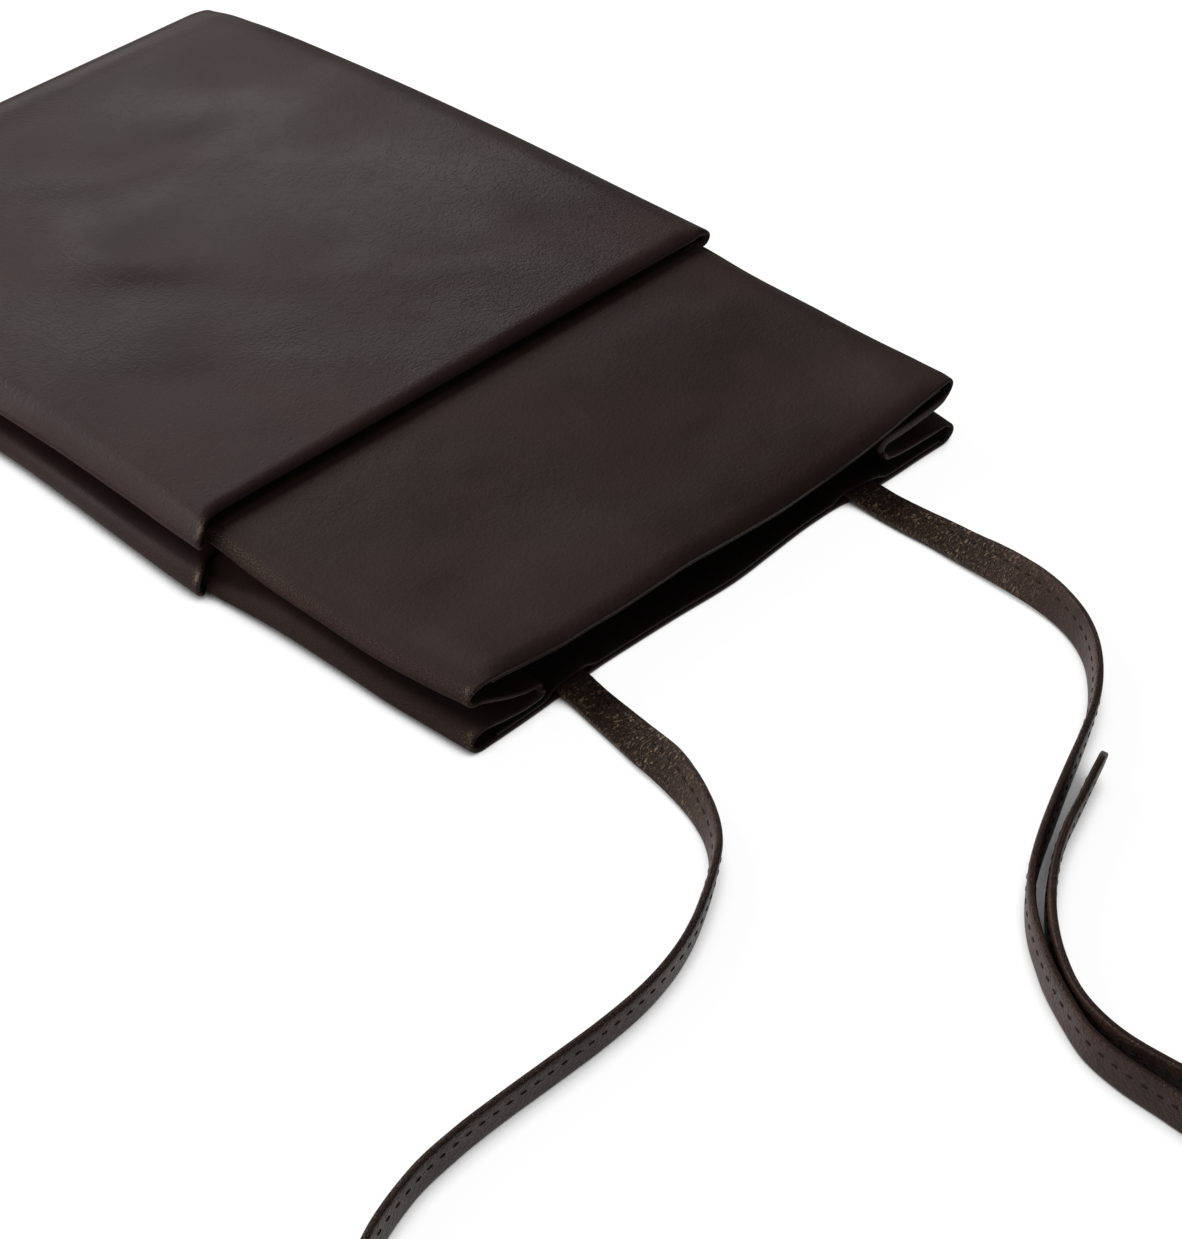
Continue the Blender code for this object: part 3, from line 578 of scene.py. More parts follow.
mouth = {
    # share of the way from the mouth to the tuck, then the left and right half width in mm
    "frontHalves": ((0.0, 83.6, 82.2), (0.10, 84.6, 82.8), (0.27, 85.3, 84.0), (0.47, 84.9, 85.3),
                    (0.68, 84.0, 86.2), (0.85, 83.4, 86.5), (0.97, 83.2, 86.6), (1.12, 83.0, 86.6)),
    "backHalves": ((0.0, 84.4, 80.8), (0.10, 84.8, 82.2), (0.27, 85.4, 84.0), (0.47, 85.3, 85.0),
                   (0.68, 85.5, 85.8), (0.97, 86.5, 86.2), (1.12, 86.4, 86.2)),
    "length": tuckY - mouthY,
    "overlap": 9.0 * mm,
    "cornerTop": 17.6 * mm,
    "middleTop": 11.9 * mm,
    "waistTop": 14.9 * mm,
    "hemRun": 5.0 * mm,  # rolled edge of the front lip
    "hemSwell": 1.30 * mm,
    "hemFade": (8.0 * mm, 26.0 * mm),  # where the swell begins to go down and over what run
    "stillRun": 12.0 * mm,  # borders without relief
    "noise": ((0.00034, 0.020, 21), (0.00010, 0.008, 22)),  # height, size and seed
    "gussetHem": 1.2 * mm,  # extra thickness of the turned edge of the right gusset
    "gussetHemRun": 6.0 * mm,
    "cornerDraw": 1.0 * mm,  # how far the front's right corner is rounded back
    "cornerSpread": 3.0 * mm,
    "edgeRun": 14.0 * mm,  # how far an uneven edge is felt in the panel
    "neckShares": (0.84, 0.16),  # where the neck begins on the way to the tuck, and its run
    "liftShares": (0.90, 0.10),  # the same for the back panel's rise over the body's lip
    "lipRoom": 0.2 * mm,
    "rim": 0.5 * mm,
    "frontEase": (0.15, 0.42),  # how long a gusset half keeps its direction at its two ends
    "backEase": (0.25, 0.35),
    "lipHalf": 82.5 * mm,
    "lipShares": ((-1.0, 0.98), (-0.92, 0.96), (-0.80, 0.72), (-0.68, 0.48), (-0.55, 0.42), (-0.43, 0.34),
                  (-0.30, 0.35), (-0.17, 0.38), (-0.04, 0.24), (0.09, 0.10), (0.22, 0.0), (0.36, 0.06),
                  (0.50, 0.14), (0.60, 0.28), (0.71, 0.50), (0.85, 0.86), (0.93, 1.0), (1.0, 1.0)),
    "fadeShares": ((0.0, 1.0), (0.13, 0.72), (0.3, 0.40), (0.55, 0.15), (0.8, 0.0), (1.0, 0.0)),
    "neckTop": frontTop - 4.0 * mm,
    # how far the back's edge lies to the inside, in mm, by x
    "backEdgeWave": ((-0.084, -1.3), (-0.060, -0.8), (-0.046, 0.2), (-0.030, 0.1), (-0.019, -0.2),
                     (0.003, -1.0), (0.016, -0.1), (0.028, 0.7), (0.037, 0.8), (0.055, -0.9),
                     (0.070, -1.0), (0.084, -1.3)),
}
mouthRows = {"edge": (0.0, 0.04, 0.12, 0.25, 0.45, 0.70, 1.0, 1.4, 1.9, 2.5, 3.2, 4.0), "begin": 5.0 * mm,
             "count": 74}
# rubbed is what the flanks gain near the tuck, and the spot is a painted highlight, a small bright glint on
# the front's left corner
mouthWearAndGlint = {
    "corner": 0.6, "fold": 0.10, "flank": 0.08, "rubbed": 0.50, "edge": 0.16, "paintedGlint": 1.2,
    "cornerRun": 1.5 * mm,
    "edgeRun": 0.5 * mm,
    "rubbedFrom": 0.5 * mm,
    "rubbedRun": 20.0 * mm,
    "flankPlace": (1.5 * mm, 1.2 * mm),  # distance from the side, and width
    "paintedGlintPlace": (1.6 * mm, 0.5 * mm, 1.2 * mm, 0.6 * mm),  # the same from the edge and the side
}
# left and right value at shares of the way from the mouth to the tuck, in mm
frontFolds = {
    "loop": ((0.0, 4.5, 4.6), (0.15, 4.0, 4.1), (0.5, 3.8, 3.8), (0.84, 3.5, 3.5), (0.97, 1.7, 1.7),
             (1.12, 1.15, 1.15)),
    "underReach": ((0.0, 2.3, 2.4), (1.12, 2.0, 2.0)),
    "overReach": ((0.0, 5.0, 5.0), (0.8, 5.5, 5.5), (1.12, 3.5, 3.5)),
    "dip": ((0.0, 0.0, -1.2), (0.10, 0.0, -0.8), (0.25, 0.0, 0.0), (1.12, 0.0, 0.0)),
    "lift": ((0.0, 0.3, 1.0), (0.25, 0.3, 0.3), (1.12, 0.3, 0.3)),
    # no length: 1 makes a fold a round ellipse, more makes it a bevel
    "bevel": ((0.0, 1.00, 1.00), (0.15, 1.20, 1.15), (0.40, 1.30, 1.30), (1.12, 1.30, 1.30)),
}
backFolds = {
    "loop": ((0.0, -5.2, -5.0), (0.12, -4.9, -4.9), (0.30, -4.7, -4.7), (0.84, -4.7, -4.7),
             (0.97, -2.2, -2.2), (1.12, -1.15, -1.15)),
    "underReach": ((0.0, 4.2, 3.6), (0.12, 3.6, 3.4), (0.30, 2.8, 3.0), (1.12, 2.2, 2.2)),
    "overReach": ((0.0, 4.0, 4.0), (1.12, 4.0, 4.0)),
    "dip": ((0.0, -0.6, 0.0), (0.2, 0.0, 0.0), (1.12, 0.0, 0.0)),
    "lift": ((0.0, 0.0, -1.4), (0.2, 0.0, 0.0), (1.12, 0.0, 0.0)),
    "bevel": ((0.0, 1.0, 1.0), (1.12, 1.0, 1.0)),
}
# where front and back gusset halves meet: distance from the middle of the pouch, height, and the
# radius of the curl in which each half ends there
gussetSeams = {
    "reach": ((0.0, 62.3, 56.9), (0.10, 62.1, 57.8), (0.25, 61.5, 59.5), (0.60, 60.0, 60.0),
              (1.12, 59.5, 60.0)),
    "height": ((0.0, 5.2, 8.8), (0.10, 5.7, 8.0), (0.30, 6.65, 7.2), (1.0, 9.4, 9.4), (1.12, 9.2, 9.2)),
    "curl": ((0.0, 1.45, 1.95), (0.10, 1.2, 1.9), (0.30, 0.7, 1.0), (0.60, 0.65, 0.65), (1.12, 0.65, 0.65)),
}


def along(y):
    return (y - mouthY) / mouth["length"]


def neckShare(y):
    begin, run = mouth["neckShares"]
    return softStep((along(y) - begin) / run)


def foldSides(table, y, halves, ease, towardsSeam):
    # towardsSeam is -1 for the front, whose gusset halves curl down to the seam, and 1 for the back
    sides = []
    for column, half in zip((1, 2), halves):
        side = dict(zip(("easeOut", "easeIn"), ease))
        for key, rows in {**table, **gussetSeams}.items():
            unit = 1.0 if key == "bevel" else mm
            side[key] = smoothRead([(row[0], row[column] * unit) for row in rows], along(y))
        side["gusset"] = half - side.pop("reach")
        side["seam"] = side.pop("height") - towardsSeam * side["curl"]
        sides.append(side)
    return sides


def mouthFrontHeight(x, y):
    # middle of the front panel: a sagging lip that fades towards the tuck, where the neck sinks under
    # the body's lip, a rolled edge that swells as a quarter circle, and a fine noise
    fade = smoothRead(mouth["fadeShares"], np.clip(along(y), 0, 1))
    edge = mouth["waistTop"] + (mouth["cornerTop"] - mouth["waistTop"]) * fade
    edge = edge + (mouth["neckTop"] - edge) * neckShare(y)
    sag = 1.0 - smoothRead(mouth["lipShares"], x / mouth["lipHalf"])
    top = edge - sag * (mouth["cornerTop"] - mouth["middleTop"]) * fade
    d = y - mouthY
    middleOnly = softStep((mouth["lipHalf"] - np.abs(x)) / mouth["stillRun"])
    roll = np.clip(d / mouth["hemRun"], 0, 1)
    begin, run = mouth["hemFade"]
    swell = mouth["hemSwell"] * roll * (2 - roll) * (1 - softStep((d - begin) / run))
    still = softStep(d / mouth["stillRun"]) * (1 - neckShare(y)) * middleOnly
    wave = sum(high * softNoise(x, y, size, seed) for high, size, seed in mouth["noise"])
    return top - sheetHalf + swell * middleOnly + still * wave


def mouthBackHeight(x, y):
    # inside the tuck the back panel is raised over the body's lip
    lip = pouch["leather"] + pouch["hem"] + mouth["lipRoom"]
    begin, run = mouth["liftShares"]
    return sheetHalf + lip * softStep((along(y) - begin) / run) + 0.0 * x


def edgeShift(amount, y):
    # an uneven edge fades into the panel
    return amount * (1 - softStep((y - mouthY) / mouth["edgeRun"]))


def makeMouthLeather(name, turned):
    y = rowPlaces(mouthY, mouthRows, tuckY + mouth["overlap"])
    halves = halvesFrom(mouth["backHalves" if turned else "frontHalves"], along(y))
    if turned:
        sides = foldSides(backFolds, y, halves, mouth["backEase"], 1)
        x, z = acrossPouch(y, halves, mouthBackHeight, sides)
        wave = smoothRead(mouth["backEdgeWave"], x) * mm
    else:
        sides = foldSides(frontFolds, y, halves, mouth["frontEase"], -1)
        x, z = acrossPouch(y, halves, mouthFrontHeight, sides)
        wave = mouth["cornerDraw"] * bell(toSide(x, halves), mouth["cornerSpread"]) * (x > 0)
    middle = np.stack([x, y[:, None] + edgeShift(wave, y[:, None]), z], axis=2)
    if turned:
        middle = middle[:, ::-1]
    fromSide = toSide(middle[..., 0], halves)
    d, toTuck = y[:, None] - mouthY, tuckY - y[:, None]

    w = mouthWearAndGlint
    corner = np.exp(-d / w["cornerRun"]) * bell(fromSide, pouch["foldSpread"])
    rubbed = np.exp(-np.clip(toTuck - w["rubbedFrom"], 0, None) / w["rubbedRun"]) * (toTuck > 0)
    place, width = w["flankPlace"]
    flank = (w["flank"] + w["rubbed"] * rubbed) * bell(fromSide - place, width) * (not turned)
    # a painted highlight: a small bright glint on the front's left corner, put on top of the wear
    fromEdge, edgeWidth, place, width = w["paintedGlintPlace"]
    paintedGlint = bell(d - fromEdge, edgeWidth) * bell(fromSide - place, width) * (middle[..., 0] < 0)
    wear = w["corner"] * corner + w["fold"] * bell(fromSide, pouch["foldSpread"]) + flank
    wear = np.clip(wear + w["edge"] * np.exp(-d / w["edgeRun"]), 0, 1) + w["paintedGlint"] * paintedGlint

    # the front's right gusset ends in a thick turned edge
    onGusset = (np.arange(x.shape[1]) >= x.shape[1] - counts["run"] - counts["under"]) * (not turned)
    inside = sheetHalf + mouth["gussetHem"] * onGusset * (1 - softStep(d / mouth["gussetHemRun"]))
    return leatherSheet(name, middle, sheetHalf, inside, mouth["rim"], shadedMouthLeather,
                        {"wear": wear, "crinkle": 0.0 * wear, "dull": bell(fromSide, pouch["sideSpread"])})


mouthFront = makeMouthLeather("mouthFrontLeather", False)
mouthBack = makeMouthLeather("mouthBackLeather", True)
print("mouth section made")


# strips inside the mouth, and the closed seam

facing = {
    "leather": 0.9 * mm,
    "depth": 11.5 * mm,
    "half": 76.0 * mm,
    "gap": 0.10 * mm,  # between a facing and its panel
    "rim": 0.45 * mm,
    "frontInset": 0.35 * mm,  # from the mouth's edge
    "backInset": 0.25 * mm,
    "frontWear": 0.12, "backWear": 0.10,
    "strapRoot": 1.5 * mm,  # how far a strap's root lifts the back facing
    "strapHalf": 4.8 * mm,
    "ramp": 4.5 * mm,
}
seamStrip = {"rim": 0.9 * mm, "wave": 0.05 * mm, "waveSize": 6.0 * mm, "seed": 31}
stripRows = {"border": np.array([0.0, 0.03, 0.10, 0.22, 0.40, 0.70]) * mm,
             "across": (1.4 * mm, 110), "deep": (1.2 * mm, 9)}  # where the even rows begin, and how many


def stripGrid(depth, half):
    def places(low, high, begin, count):
        even = np.linspace(low + begin, high - begin, count)
        return np.concatenate([low + stripRows["border"], even, high - stripRows["border"][::-1]])
    return np.meshgrid(places(-half, half, *stripRows["across"]), places(0.0, depth, *stripRows["deep"]))


def makeStrip(name, x, y, z, thickness, rim, wear):
    return leatherSheet(name, np.stack([x, y, z], axis=2), thickness / 2, thickness / 2, rim, paintedShadeInnerLeather,
                        {"wear": wear + 0.0 * x, "crinkle": 0.0 * x})


def makeFrontFacing():
    x, d = stripGrid(facing["depth"], facing["half"])
    y = mouthY + d + facing["frontInset"]
    z = mouthFrontHeight(x, y) - (sheetHalf + facing["gap"] + facing["leather"] / 2)
    return makeStrip("frontFacing", x, y, z, facing["leather"], facing["rim"], facing["frontWear"])


def makeBackFacing():
    x, d = stripGrid(facing["depth"], facing["half"])
    y = mouthY + d + facing["backInset"] + edgeShift(smoothRead(mouth["backEdgeWave"], x) * mm, mouthY + d)
    z = pouch["leather"] + facing["gap"] + facing["leather"] / 2 + 0.0 * x
    for place in strapPlaces:
        away = (np.abs(x - place) - facing["strapHalf"]) / facing["ramp"]
        z = np.maximum(z, z[0, 0] + facing["strapRoot"] * (1 - softStep(away)))
    return makeStrip("backFacing", x, y, z, facing["leather"], facing["rim"], facing["backWear"])


def makeClosedSeam():
    low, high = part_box("closed_end_seam")
    x, d = stripGrid(high.y - low.y, high.x)
    z = endMiddle + seamStrip["wave"] * softNoise(x, d, seamStrip["waveSize"], seamStrip["seed"])
    return makeStrip("closedSeam", x, low.y + d, z, high.z - low.z, seamStrip["rim"], 0.0)


frontFacing = makeFrontFacing()
backFacing = makeBackFacing()
closedSeam = makeClosedSeam()
print("facings and closed seam made")


# tie straps

strap = {
    "width": 9.0 * mm,
    "thickness": 2.0 * mm,
    "rootThickness": 1.3 * mm,
    "rootDepth": 9.5 * mm,
    "rootLift": 0.3 * mm,
    "step": 1.3 * mm,
    "fine": 24,  # points of the curve between two rows of the route
    "tipPlaces": (0.05, 0.15, 0.35, 0.65),  # closer rings at both ends, in mm from them
    "round": 52,  # points round a section
    "squareness": 0.42,  # power of the rounded oblong: 1 is an ellipse
    "stitchAt": 1.45 * mm,  # from the strap's middle line
    "grooveDepth": 0.13 * mm,
    "grooveHalf": 0.45 * mm,
    "tipRound": 0.9 * mm,
    "tipWidth": 0.25,  # share of the width at the very ends
    "tipShare": 0.55,  # and the share to which the free end narrows over the tip's run
    "tipRun": 5.0 * mm,
    "crinkleFrom": 34.0 * mm,  # where the crinkled root begins to give way, and its run
    "crinkleRun": 52.0 * mm,
    "crinkleHeight": 0.12 * mm,
    "creases": ((0.6, 1.5 * mm, 1.0 * mm), (0.4, 0.8 * mm, 0.0)),  # share, size, shift to the back face
    "seeds": (41, 43),
    "wear": (0.05, 0.20, 0.4, 0.05),  # plain, crinkled, share that the middle keeps, and at the edges
}
rootZ = pouch["leather"] + strap["rootLift"] + strap["rootThickness"] / 2
# rows of a route: middle of the strap with y counted from the mouth's edge, in metres, and its
# turn about its own run in degrees, where 0 lies flat and 90 stands on edge
leftRoute = (
    (-0.0523, -0.0020, 0.0019, 0), (-0.0532, -0.0080, 0.0015, 0), (-0.0546, -0.0155, 0.0017, 6),
    (-0.0560, -0.0225, 0.0021, 12), (-0.0577, -0.0290, 0.0030, 25), (-0.0594, -0.0355, 0.0040, 43),
    (-0.0615, -0.0420, 0.0045, 60), (-0.0644, -0.0495, 0.0047, 73), (-0.0685, -0.0570, 0.0047, 80),
    (-0.0736, -0.0630, 0.0047, 82), (-0.0800, -0.0676, 0.0047, 82), (-0.0870, -0.0717, 0.0047, 82),
    (-0.0950, -0.0757, 0.0047, 82), (-0.1040, -0.0789, 0.0047, 82), (-0.1150, -0.0811, 0.0047, 82),
    (-0.1280, -0.0819, 0.0047, 82), (-0.1420, -0.0818, 0.0047, 82), (-0.1560, -0.0816, 0.0047, 82),
    (-0.1680, -0.0819, 0.0047, 84), (-0.1810, -0.0835, 0.0047, 86), (-0.1970, -0.0889, 0.0047, 90),
    (-0.2110, -0.0980, 0.0047, 90), (-0.2200, -0.1103, 0.0047, 90), (-0.2235, -0.1243, 0.0047, 90),
    (-0.2210, -0.1383, 0.0047, 90), (-0.2130, -0.1503, 0.0047, 90), (-0.2010, -0.1593, 0.0047, 90),
    (-0.1870, -0.1648, 0.0047, 90), (-0.1720, -0.1693, 0.0047, 90), (-0.1590, -0.1768, 0.0047, 90),
    (-0.1500, -0.1883, 0.0047, 90), (-0.1475, -0.2023, 0.0047, 90), (-0.1520, -0.2158, 0.0047, 90),
    (-0.1620, -0.2263, 0.0047, 90), (-0.1755, -0.2328, 0.0047, 90), (-0.1930, -0.2353, 0.0047, 90),
    (-0.2140, -0.2336, 0.0047, 90), (-0.2360, -0.2313, 0.0047, 90), (-0.2570, -0.2334, 0.0047, 90),
    (-0.2740, -0.2433, 0.0047, 90), (-0.2830, -0.2583, 0.0047, 90), (-0.2830, -0.2753, 0.0047, 90),
)
rightRoute = (
    (0.0470, -0.0020, 0.0019, 0), (0.0468, -0.0090, 0.0015, 4), (0.0467, -0.0170, 0.0017, 7),
    (0.0468, -0.0250, 0.0020, 11), (0.0463, -0.0330, 0.0025, 18), (0.0457, -0.0410, 0.0033, 30),
    (0.0447, -0.0490, 0.0041, 46), (0.0435, -0.0565, 0.0046, 61), (0.0417, -0.0640, 0.0047, 73),
    (0.0386, -0.0715, 0.0047, 79), (0.0342, -0.0780, 0.0047, 82), (0.0286, -0.0836, 0.0047, 82),
    (0.0220, -0.0886, 0.0047, 82), (0.0150, -0.0926, 0.0047, 82), (0.0060, -0.0967, 0.0047, 84),
    (-0.0048, -0.1012, 0.0047, 87), (-0.0156, -0.1059, 0.0047, 90), (-0.0255, -0.1104, 0.0047, 90),
    (-0.0339, -0.1149, 0.0047, 90), (-0.0405, -0.1196, 0.0047, 90), (-0.0460, -0.1247, 0.0047, 90),
    (-0.0507, -0.1303, 0.0047, 90), (-0.0550, -0.1360, 0.0047, 90), (-0.0598, -0.1441, 0.0047, 90),
    (-0.0637, -0.1522, 0.0047, 90), (-0.0655, -0.1620, 0.0047, 90), (-0.0659, -0.1737, 0.0047, 90),
    (-0.0668, -0.1840, 0.0047, 90), (-0.0710, -0.1960, 0.0047, 90), (-0.0778, -0.2093, 0.0047, 90),
    (-0.0837, -0.2243, 0.0047, 90), (-0.0835, -0.2413, 0.0047, 90), (-0.0745, -0.2550, 0.0047, 90),
    (-0.0600, -0.2613, 0.0047, 90), (-0.0455, -0.2578, 0.0047, 90), (-0.0355, -0.2473, 0.0047, 90),
    (-0.0325, -0.2333, 0.0047, 90), (-0.0360, -0.2183, 0.0047, 90), (-0.0435, -0.2043, 0.0047, 90),
    (-0.0525, -0.1913, 0.0047, 90), (-0.0583, -0.1788, 0.0047, 90), (-0.0601, -0.1659, 0.0047, 90),
    (-0.0599, -0.1551, 0.0047, 90), (-0.0569, -0.1447, 0.0047, 90), (-0.0511, -0.1357, 0.0047, 90),
    (-0.0439, -0.1279, 0.0047, 90), (-0.0360, -0.1214, 0.0047, 92), (-0.0272, -0.1158, 0.0047, 95),
    (-0.0182, -0.1115, 0.0047, 98), (-0.0099, -0.1085, 0.0047, 100), (-0.0019, -0.1055, 0.0047, 101),
    (0.0023, -0.1040, 0.0047, 102), (0.0064, -0.1025, 0.0047, 102),
)


def strapLine(place, route):
    # Catmull-Rom curve through the root and every row of the route, read at an even step
    root = [(place, mouthY + strap["rootDepth"] * s, rootZ, 0) for s in (1.0, 0.5, 0.0)]
    rows = np.array(root + [(x, mouthY + y, z, turn) for x, y, z, turn in route], float)
    ends = np.vstack([2 * rows[0] - rows[1], rows, 2 * rows[-1] - rows[-2]])
    s = np.linspace(0, len(rows) - 1, strap["fine"] * (len(rows) - 1) + 1)
    i = np.minimum(s.astype(int), len(rows) - 2)
    t = (s - i)[:, None]
    a, b, c, d = ends[i], ends[i + 1], ends[i + 2], ends[i + 3]
    fine = 0.5 * (2 * b + (c - a) * t + (2 * a - 5 * b + 4 * c - d) * t**2
                  + (3 * b - a - 3 * c + d) * t**3)
    run = np.concatenate([[0.0], np.cumsum(np.linalg.norm(np.diff(fine[:, :3], axis=0), axis=1))])
    places = np.linspace(0, run[-1], int(run[-1] / strap["step"]) + 1)
    near = np.array(strap["tipPlaces"]) * mm
    places = np.unique(np.concatenate([places, near, run[-1] - near]))
    return np.stack([np.interp(places, run, fine[:, k]) for k in range(4)], axis=1), places


def strapFrames(line):
    # unit vectors along the strap, across its width and out of its face, turned by the route's turn
    ahead = np.gradient(line[:, :3], axis=0)
    ahead /= np.linalg.norm(ahead, axis=1, keepdims=True)
    left = np.stack([-ahead[:, 1], ahead[:, 0], 0 * ahead[:, 0]], axis=1)
    left /= np.linalg.norm(left, axis=1, keepdims=True)
    up = np.cross(ahead, left)
    turn = np.radians(line[:, 3])[:, None]
    return ahead, left * np.cos(turn) + up * np.sin(turn), up * np.cos(turn) - left * np.sin(turn)


def makeStrap(name, place, route, seed):
    # a rounded oblong carried along the route: its point goes across by a power of the cosine and out
    # of the face by the same power of the sine, less a pressed groove under the stitch row
    line, places = strapLine(place, route)
    _, across, out = strapFrames(line)
    run = places[:, None]
    toTip = run[-1] - run
    a = np.linspace(0, 2 * np.pi, strap["round"], endpoint=False)
    p = np.sign(np.cos(a)) * np.abs(np.cos(a)) ** strap["squareness"] * strap["width"] / 2
    q = np.sign(np.sin(a)) * np.abs(np.sin(a)) ** strap["squareness"]
    tip = np.sqrt(1 - (1 - np.clip(np.minimum(run, toTip) / strap["tipRound"], 0, 1)) ** 2)
    narrow = strap["tipShare"] + (1 - strap["tipShare"]) * softStep(toTip / strap["tipRun"])
    inMouth = softStep((line[:, 1] - mouthY + strap["thickness"]) / strap["thickness"])[:, None]
    thick = strap["thickness"] + (strap["rootThickness"] - strap["thickness"]) * inMouth
    groove = strap["grooveDepth"] * bell(p - strap["stitchAt"], strap["grooveHalf"])
    crinkle = (1 - softStep((run - strap["crinkleFrom"]) / strap["crinkleRun"])) * (1 - inMouth)
    creased = sum(share * softNoise(run + 0 * a, p + 0 * run + shift * q, size, seed + k)
                  for k, (share, size, shift) in enumerate(strap["creases"]))
    face = thick / 2 + (strap["crinkleHeight"] * crinkle * creased - groove) * (1 - inMouth)
    pa = p * narrow * (strap["tipWidth"] + (1 - strap["tipWidth"]) * tip)
    qa = q * face * tip
    points = line[:, None, :3] + across[:, None] * pa[..., None] + out[:, None] * qa[..., None]
    rows, cols = pa.shape
    n, m, quads = tubeQuads(rows, cols)
    # each end is closed by triangles round the end of the middle line
    caps = np.concatenate([np.stack([m[0], n[0], np.full(cols, rows * cols)], axis=1),
                           np.stack([n[-1], m[-1], np.full(cols, rows * cols + 1)], axis=1)])
    points = np.concatenate([points.reshape(-1, 3), line[[0, -1], :3]])
    girth = np.concatenate([[0], np.cumsum(np.hypot(np.diff(p), np.diff(q * strap["thickness"] / 2)))])
    spread = lambda v, ends: np.append(np.broadcast_to(v, (rows, cols)), ends)
    uv = np.stack([spread(girth, [0, 0]), spread(run, [0, places[-1]])], axis=1)
    edge = np.abs(p) / (strap["width"] / 2)
    plain, crinkled, kept, atEdge = strap["wear"]
    wear = (plain + crinkled * crinkle) * (kept + (1 - kept) * edge**4) + atEdge * edge**6
    values = {"wear": spread(wear, [0, 0]), "crinkle": spread(crinkle, [0, 0])}
    return makeMesh(name, points, quads.tolist() + caps.tolist(), uv, values, strapLeather), line, places


stitch = {
    "pitch": 3.7 * mm, "length": 2.1 * mm, "radius": 0.26 * mm, "tipRadius": 0.02 * mm,
    "sunk": 0.10 * mm,  # how far its ends go into the groove
    "proud": 0.15,  # share of the radius by which its middle line stands off the groove
    "start": 14 * mm, "stop": 8 * mm,  # from the two ends of the strap
    "rings": 7, "round": 6,
    "grain": 0.35 * mm, "dark": (0.007, 0.004, 0.0035, 1), "pale": (0.017, 0.009, 0.008, 1),
    "roughness": 0.75, "specular": 0.2,
}


def threadMaterial():
    made, tree = newMaterial("threadMaterial")
    place = addNode(tree, "TexCoord").outputs["Object"]
    grain = addNode(tree, "TexNoise", {"Vector": place, "Scale": 1 / stitch["grain"]})
    ramp = addNode(tree, "ValToRGB", {"Fac": grain.outputs["Fac"]})
    for element, key in zip(ramp.color_ramp.elements, ("dark", "pale")):
        element.color = stitch[key]
    fill(tree, tree.nodes["Principled BSDF"], {
        "Base Color": ramp.outputs["Color"], "Roughness": stitch["roughness"],
        "Specular IOR Level": stitch["specular"]})
    return made


thread = threadMaterial()


def makeStitches(name, line, places):
    # each stitch is a small capsule: rings whose radius is the square root of 1 less the cube of the
    # distance from its middle, bowed down at its ends, at an even pitch on both faces of the strap
    at = np.arange(stitch["start"], places[-1] - stitch["stop"], stitch["pitch"])
    pick = lambda rows: np.stack([np.interp(at, places, rows[:, k]) for k in range(3)], axis=1)
    middle, ahead, across, out = (pick(rows) for rows in (line[:, :3], *strapFrames(line)))
    rows, cols = stitch["rings"], stitch["round"]
    s = np.linspace(-1, 1, rows)[:, None]
    a = np.linspace(0, 2 * np.pi, cols, endpoint=False)
    radius = np.sqrt(np.clip(1 - np.abs(s) ** 3, 0.0, 1)) * stitch["radius"] + stitch["tipRadius"]
    bow = stitch["sunk"] * np.abs(s) ** 3
    template = np.stack([s * stitch["length"] / 2 + 0 * a, radius * np.cos(a), radius * np.sin(a) - bow],
                        axis=2).reshape(-1, 3)
    n, _, faces = tubeQuads(rows, cols)
    first, last = n[0], n[-1]
    faces = np.concatenate([faces, np.stack([first[[0, 1, 2, 3]], first[[0, 3, 4, 5]],
                                             last[[3, 2, 1, 0]], last[[5, 4, 3, 0]]])])
    lift = strap["thickness"] / 2 - strap["grooveDepth"] + stitch["radius"] * stitch["proud"]
    points, quads = [], []
    for k, side in enumerate((1, -1)):
        base = middle + across * strap["stitchAt"] + out * lift * side
        stitches = (base[:, None] + ahead[:, None] * template[None, :, :1]
                    + across[:, None] * template[None, :, 1:2] + out[:, None] * template[None, :, 2:] * side)
        offset = (np.arange(len(at)) + k * len(at))[:, None, None] * rows * cols
        points.append(stitches.reshape(-1, 3))
        quads.append(((faces if side > 0 else faces[:, ::-1])[None] + offset).reshape(-1, 4))
    points, quads = np.concatenate(points), np.concatenate(quads)
    return makeMesh(name, points, quads.tolist(), points[:, :2], {}, thread)


leftStrap, leftLine, leftPlaces = makeStrap("leftStrap", strapPlaces[0], leftRoute, strap["seeds"][0])
rightStrap, rightLine, rightPlaces = makeStrap("rightStrap", strapPlaces[1], rightRoute, strap["seeds"][1])
leftStitches = makeStitches("leftStrapStitches", leftLine, leftPlaces)
rightStitches = makeStitches("rightStrapStitches", rightLine, rightPlaces)
print("straps made")


# what each piece stands for and moves with

sideNodes = lambda section, half: [f"{side}_{section}_gusset_{half}" for side in ("left", "right")]
# leather pieces keep the place they are made in, and the others go with the front or the back
for piece, nodes, slotName, body in (
        (bodyFront, ["front_body_panel", *sideNodes("body", "upper")], "body_leather", None),
        (bodyBack, ["back_body_panel", *sideNodes("body", "lower")], "body_leather", None),
        (mouthFront, ["front_mouth_panel", *sideNodes("mouth", "upper")], "mouth_leather", None),
        (mouthBack, ["back_mouth_panel", *sideNodes("mouth", "lower")], "mouth_leather", None),
        (frontFacing, ["front_mouth_facing"], "facing_leather", "front"),
        (backFacing, ["back_mouth_facing"], "facing_leather", "back"),
        (closedSeam, ["closed_end_seam"], "facing_leather", "back"),
        (leftStrap, ["left_strap"], "strap_leather", "back"),
        (rightStrap, ["right_strap"], "strap_leather", "back")):
    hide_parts(*nodes)
    if body:
        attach(piece, body)
    else:
        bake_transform(piece)
for piece, stitches, line, places, place in (
        (leftStrap, leftStitches, leftLine, leftPlaces, strapPlaces[0]),
        (rightStrap, rightStitches, rightLine, rightPlaces, strapPlaces[1])):
    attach(stitches, "back")


# floor, world and lamps

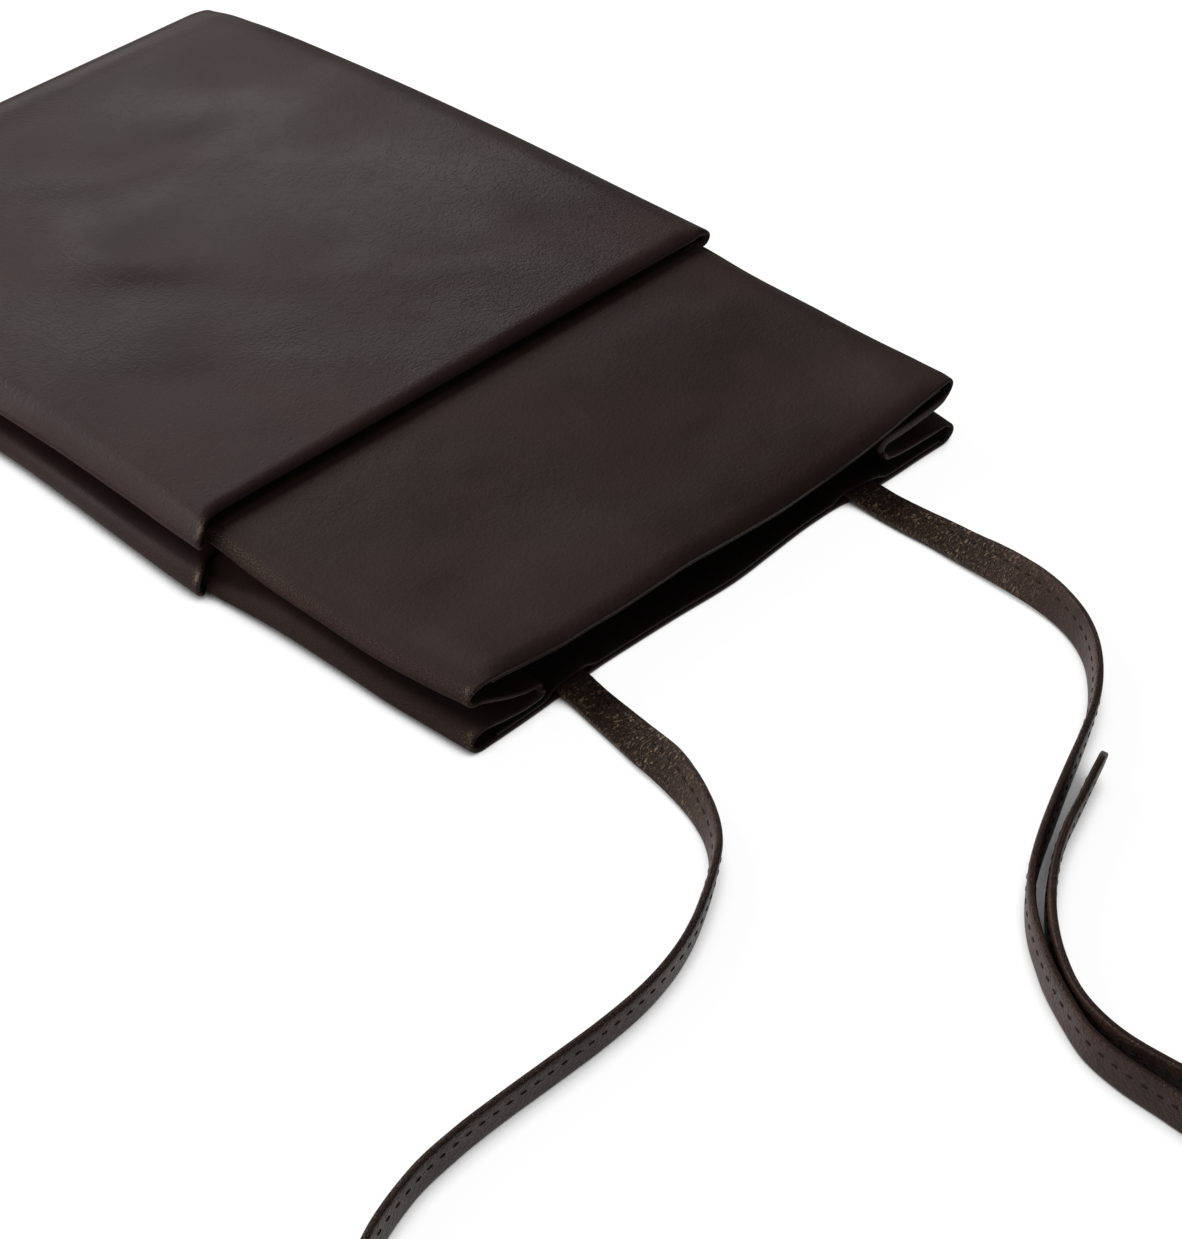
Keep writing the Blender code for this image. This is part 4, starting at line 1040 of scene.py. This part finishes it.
light = {
    "world": 0.06,
    "floor": 0.14,
    "floorHalf": 4.0,
    "floorGlow": 0.96,
    "paintedShadowReach": 7 * mm,  # how far the painted contact shadow spreads on the floor
    "paintedShadowRange": (0.20, 0.65),  # readings of the occlusion between which the glow comes back
    "paintedShadowSamples": 8,
    # place, size, watts; every lamp faces the pouch
    "lamps": (("backLamp", (-0.22, 1.30, 0.84), 0.9, 24.0), ("topLamp", (-0.10, 0.20, 1.40), 1.0, 1.0),
              ("leftLamp", (-1.25, 0.10, 0.55), 1.1, 7.0), ("sheenLamp", (0.84, 1.08, 0.70), 0.55, 2.0),
              ("frontLamp", (-0.10, -1.20, 0.62), 0.9, 1.1)),
}


def makeFloor():
    # white to the camera and in reflections, except close under the pouch, where ambient occlusion cuts the
    # glow to paint a contact shadow, and grey to the light
    mesh = bpy.data.meshes.new("floor")
    h = light["floorHalf"]
    mesh.from_pydata([(-h, -h, 0), (h, -h, 0), (h, h, 0), (-h, h, 0)], [], [(0, 1, 2, 3)])
    made, tree = newMaterial("floorPaper")
    tree.nodes.clear()
    path = addNode(tree, "LightPath").outputs
    seen = maths(tree, "MAXIMUM", path["Is Camera Ray"], path["Is Glossy Ray"])
    seen = maths(tree, "MAXIMUM", seen, path["Is Transmission Ray"])
    # painted contact shadow: the glow is cut where the pouch or a strap is close by
    near = addNode(tree, "AmbientOcclusion", {"Distance": light["paintedShadowReach"]}, samples=light["paintedShadowSamples"])
    low, high = light["paintedShadowRange"]
    clear = addNode(tree, "MapRange", {"Value": near.outputs["AO"], "From Min": low, "From Max": high,
                                       "To Max": light["floorGlow"]})
    glow = addNode(tree, "Emission", {"Strength": maths(tree, "MULTIPLY", seen, clear.outputs["Result"])})
    paper = addNode(tree, "BsdfDiffuse", {"Color": (light["floor"],) * 3})
    both = addNode(tree, "AddShader", {0: paper.outputs["BSDF"], 1: glow.outputs["Emission"]})
    addNode(tree, "OutputMaterial", {"Surface": both.outputs["Shader"]})
    mesh.materials.append(made)
    addObject("floor", mesh)


def makeWorld():
    # white to the camera, a plain grey level to everything else
    world = bpy.data.worlds.new("world")
    bpy.context.scene.world = world
    world.use_nodes = True
    tree = world.node_tree
    tree.nodes.clear()
    path = addNode(tree, "LightPath").outputs
    lit = addNode(tree, "Background", {"Strength": light["world"]})
    seen = addNode(tree, "Background", {"Color": (1.0, 1.0, 1.0), "Strength": 1.0})
    mix = addNode(tree, "MixShader", {0: path["Is Camera Ray"], 1: lit.outputs["Background"],
                                      2: seen.outputs["Background"]})
    addNode(tree, "OutputWorld", {"Surface": mix.outputs["Shader"]})


def makeLamps():
    for name, place, size, watts in light["lamps"]:
        lamp = bpy.data.lights.new(name, "AREA")
        lamp.shape, lamp.size, lamp.energy = "SQUARE", size, watts
        aim(addObject(name, lamp), place, -Vector(place))


makeFloor()
makeWorld()
makeLamps()
bpy.context.scene.view_settings.view_transform = "Standard"
print("stage made")

bpy.context.view_layer.update()
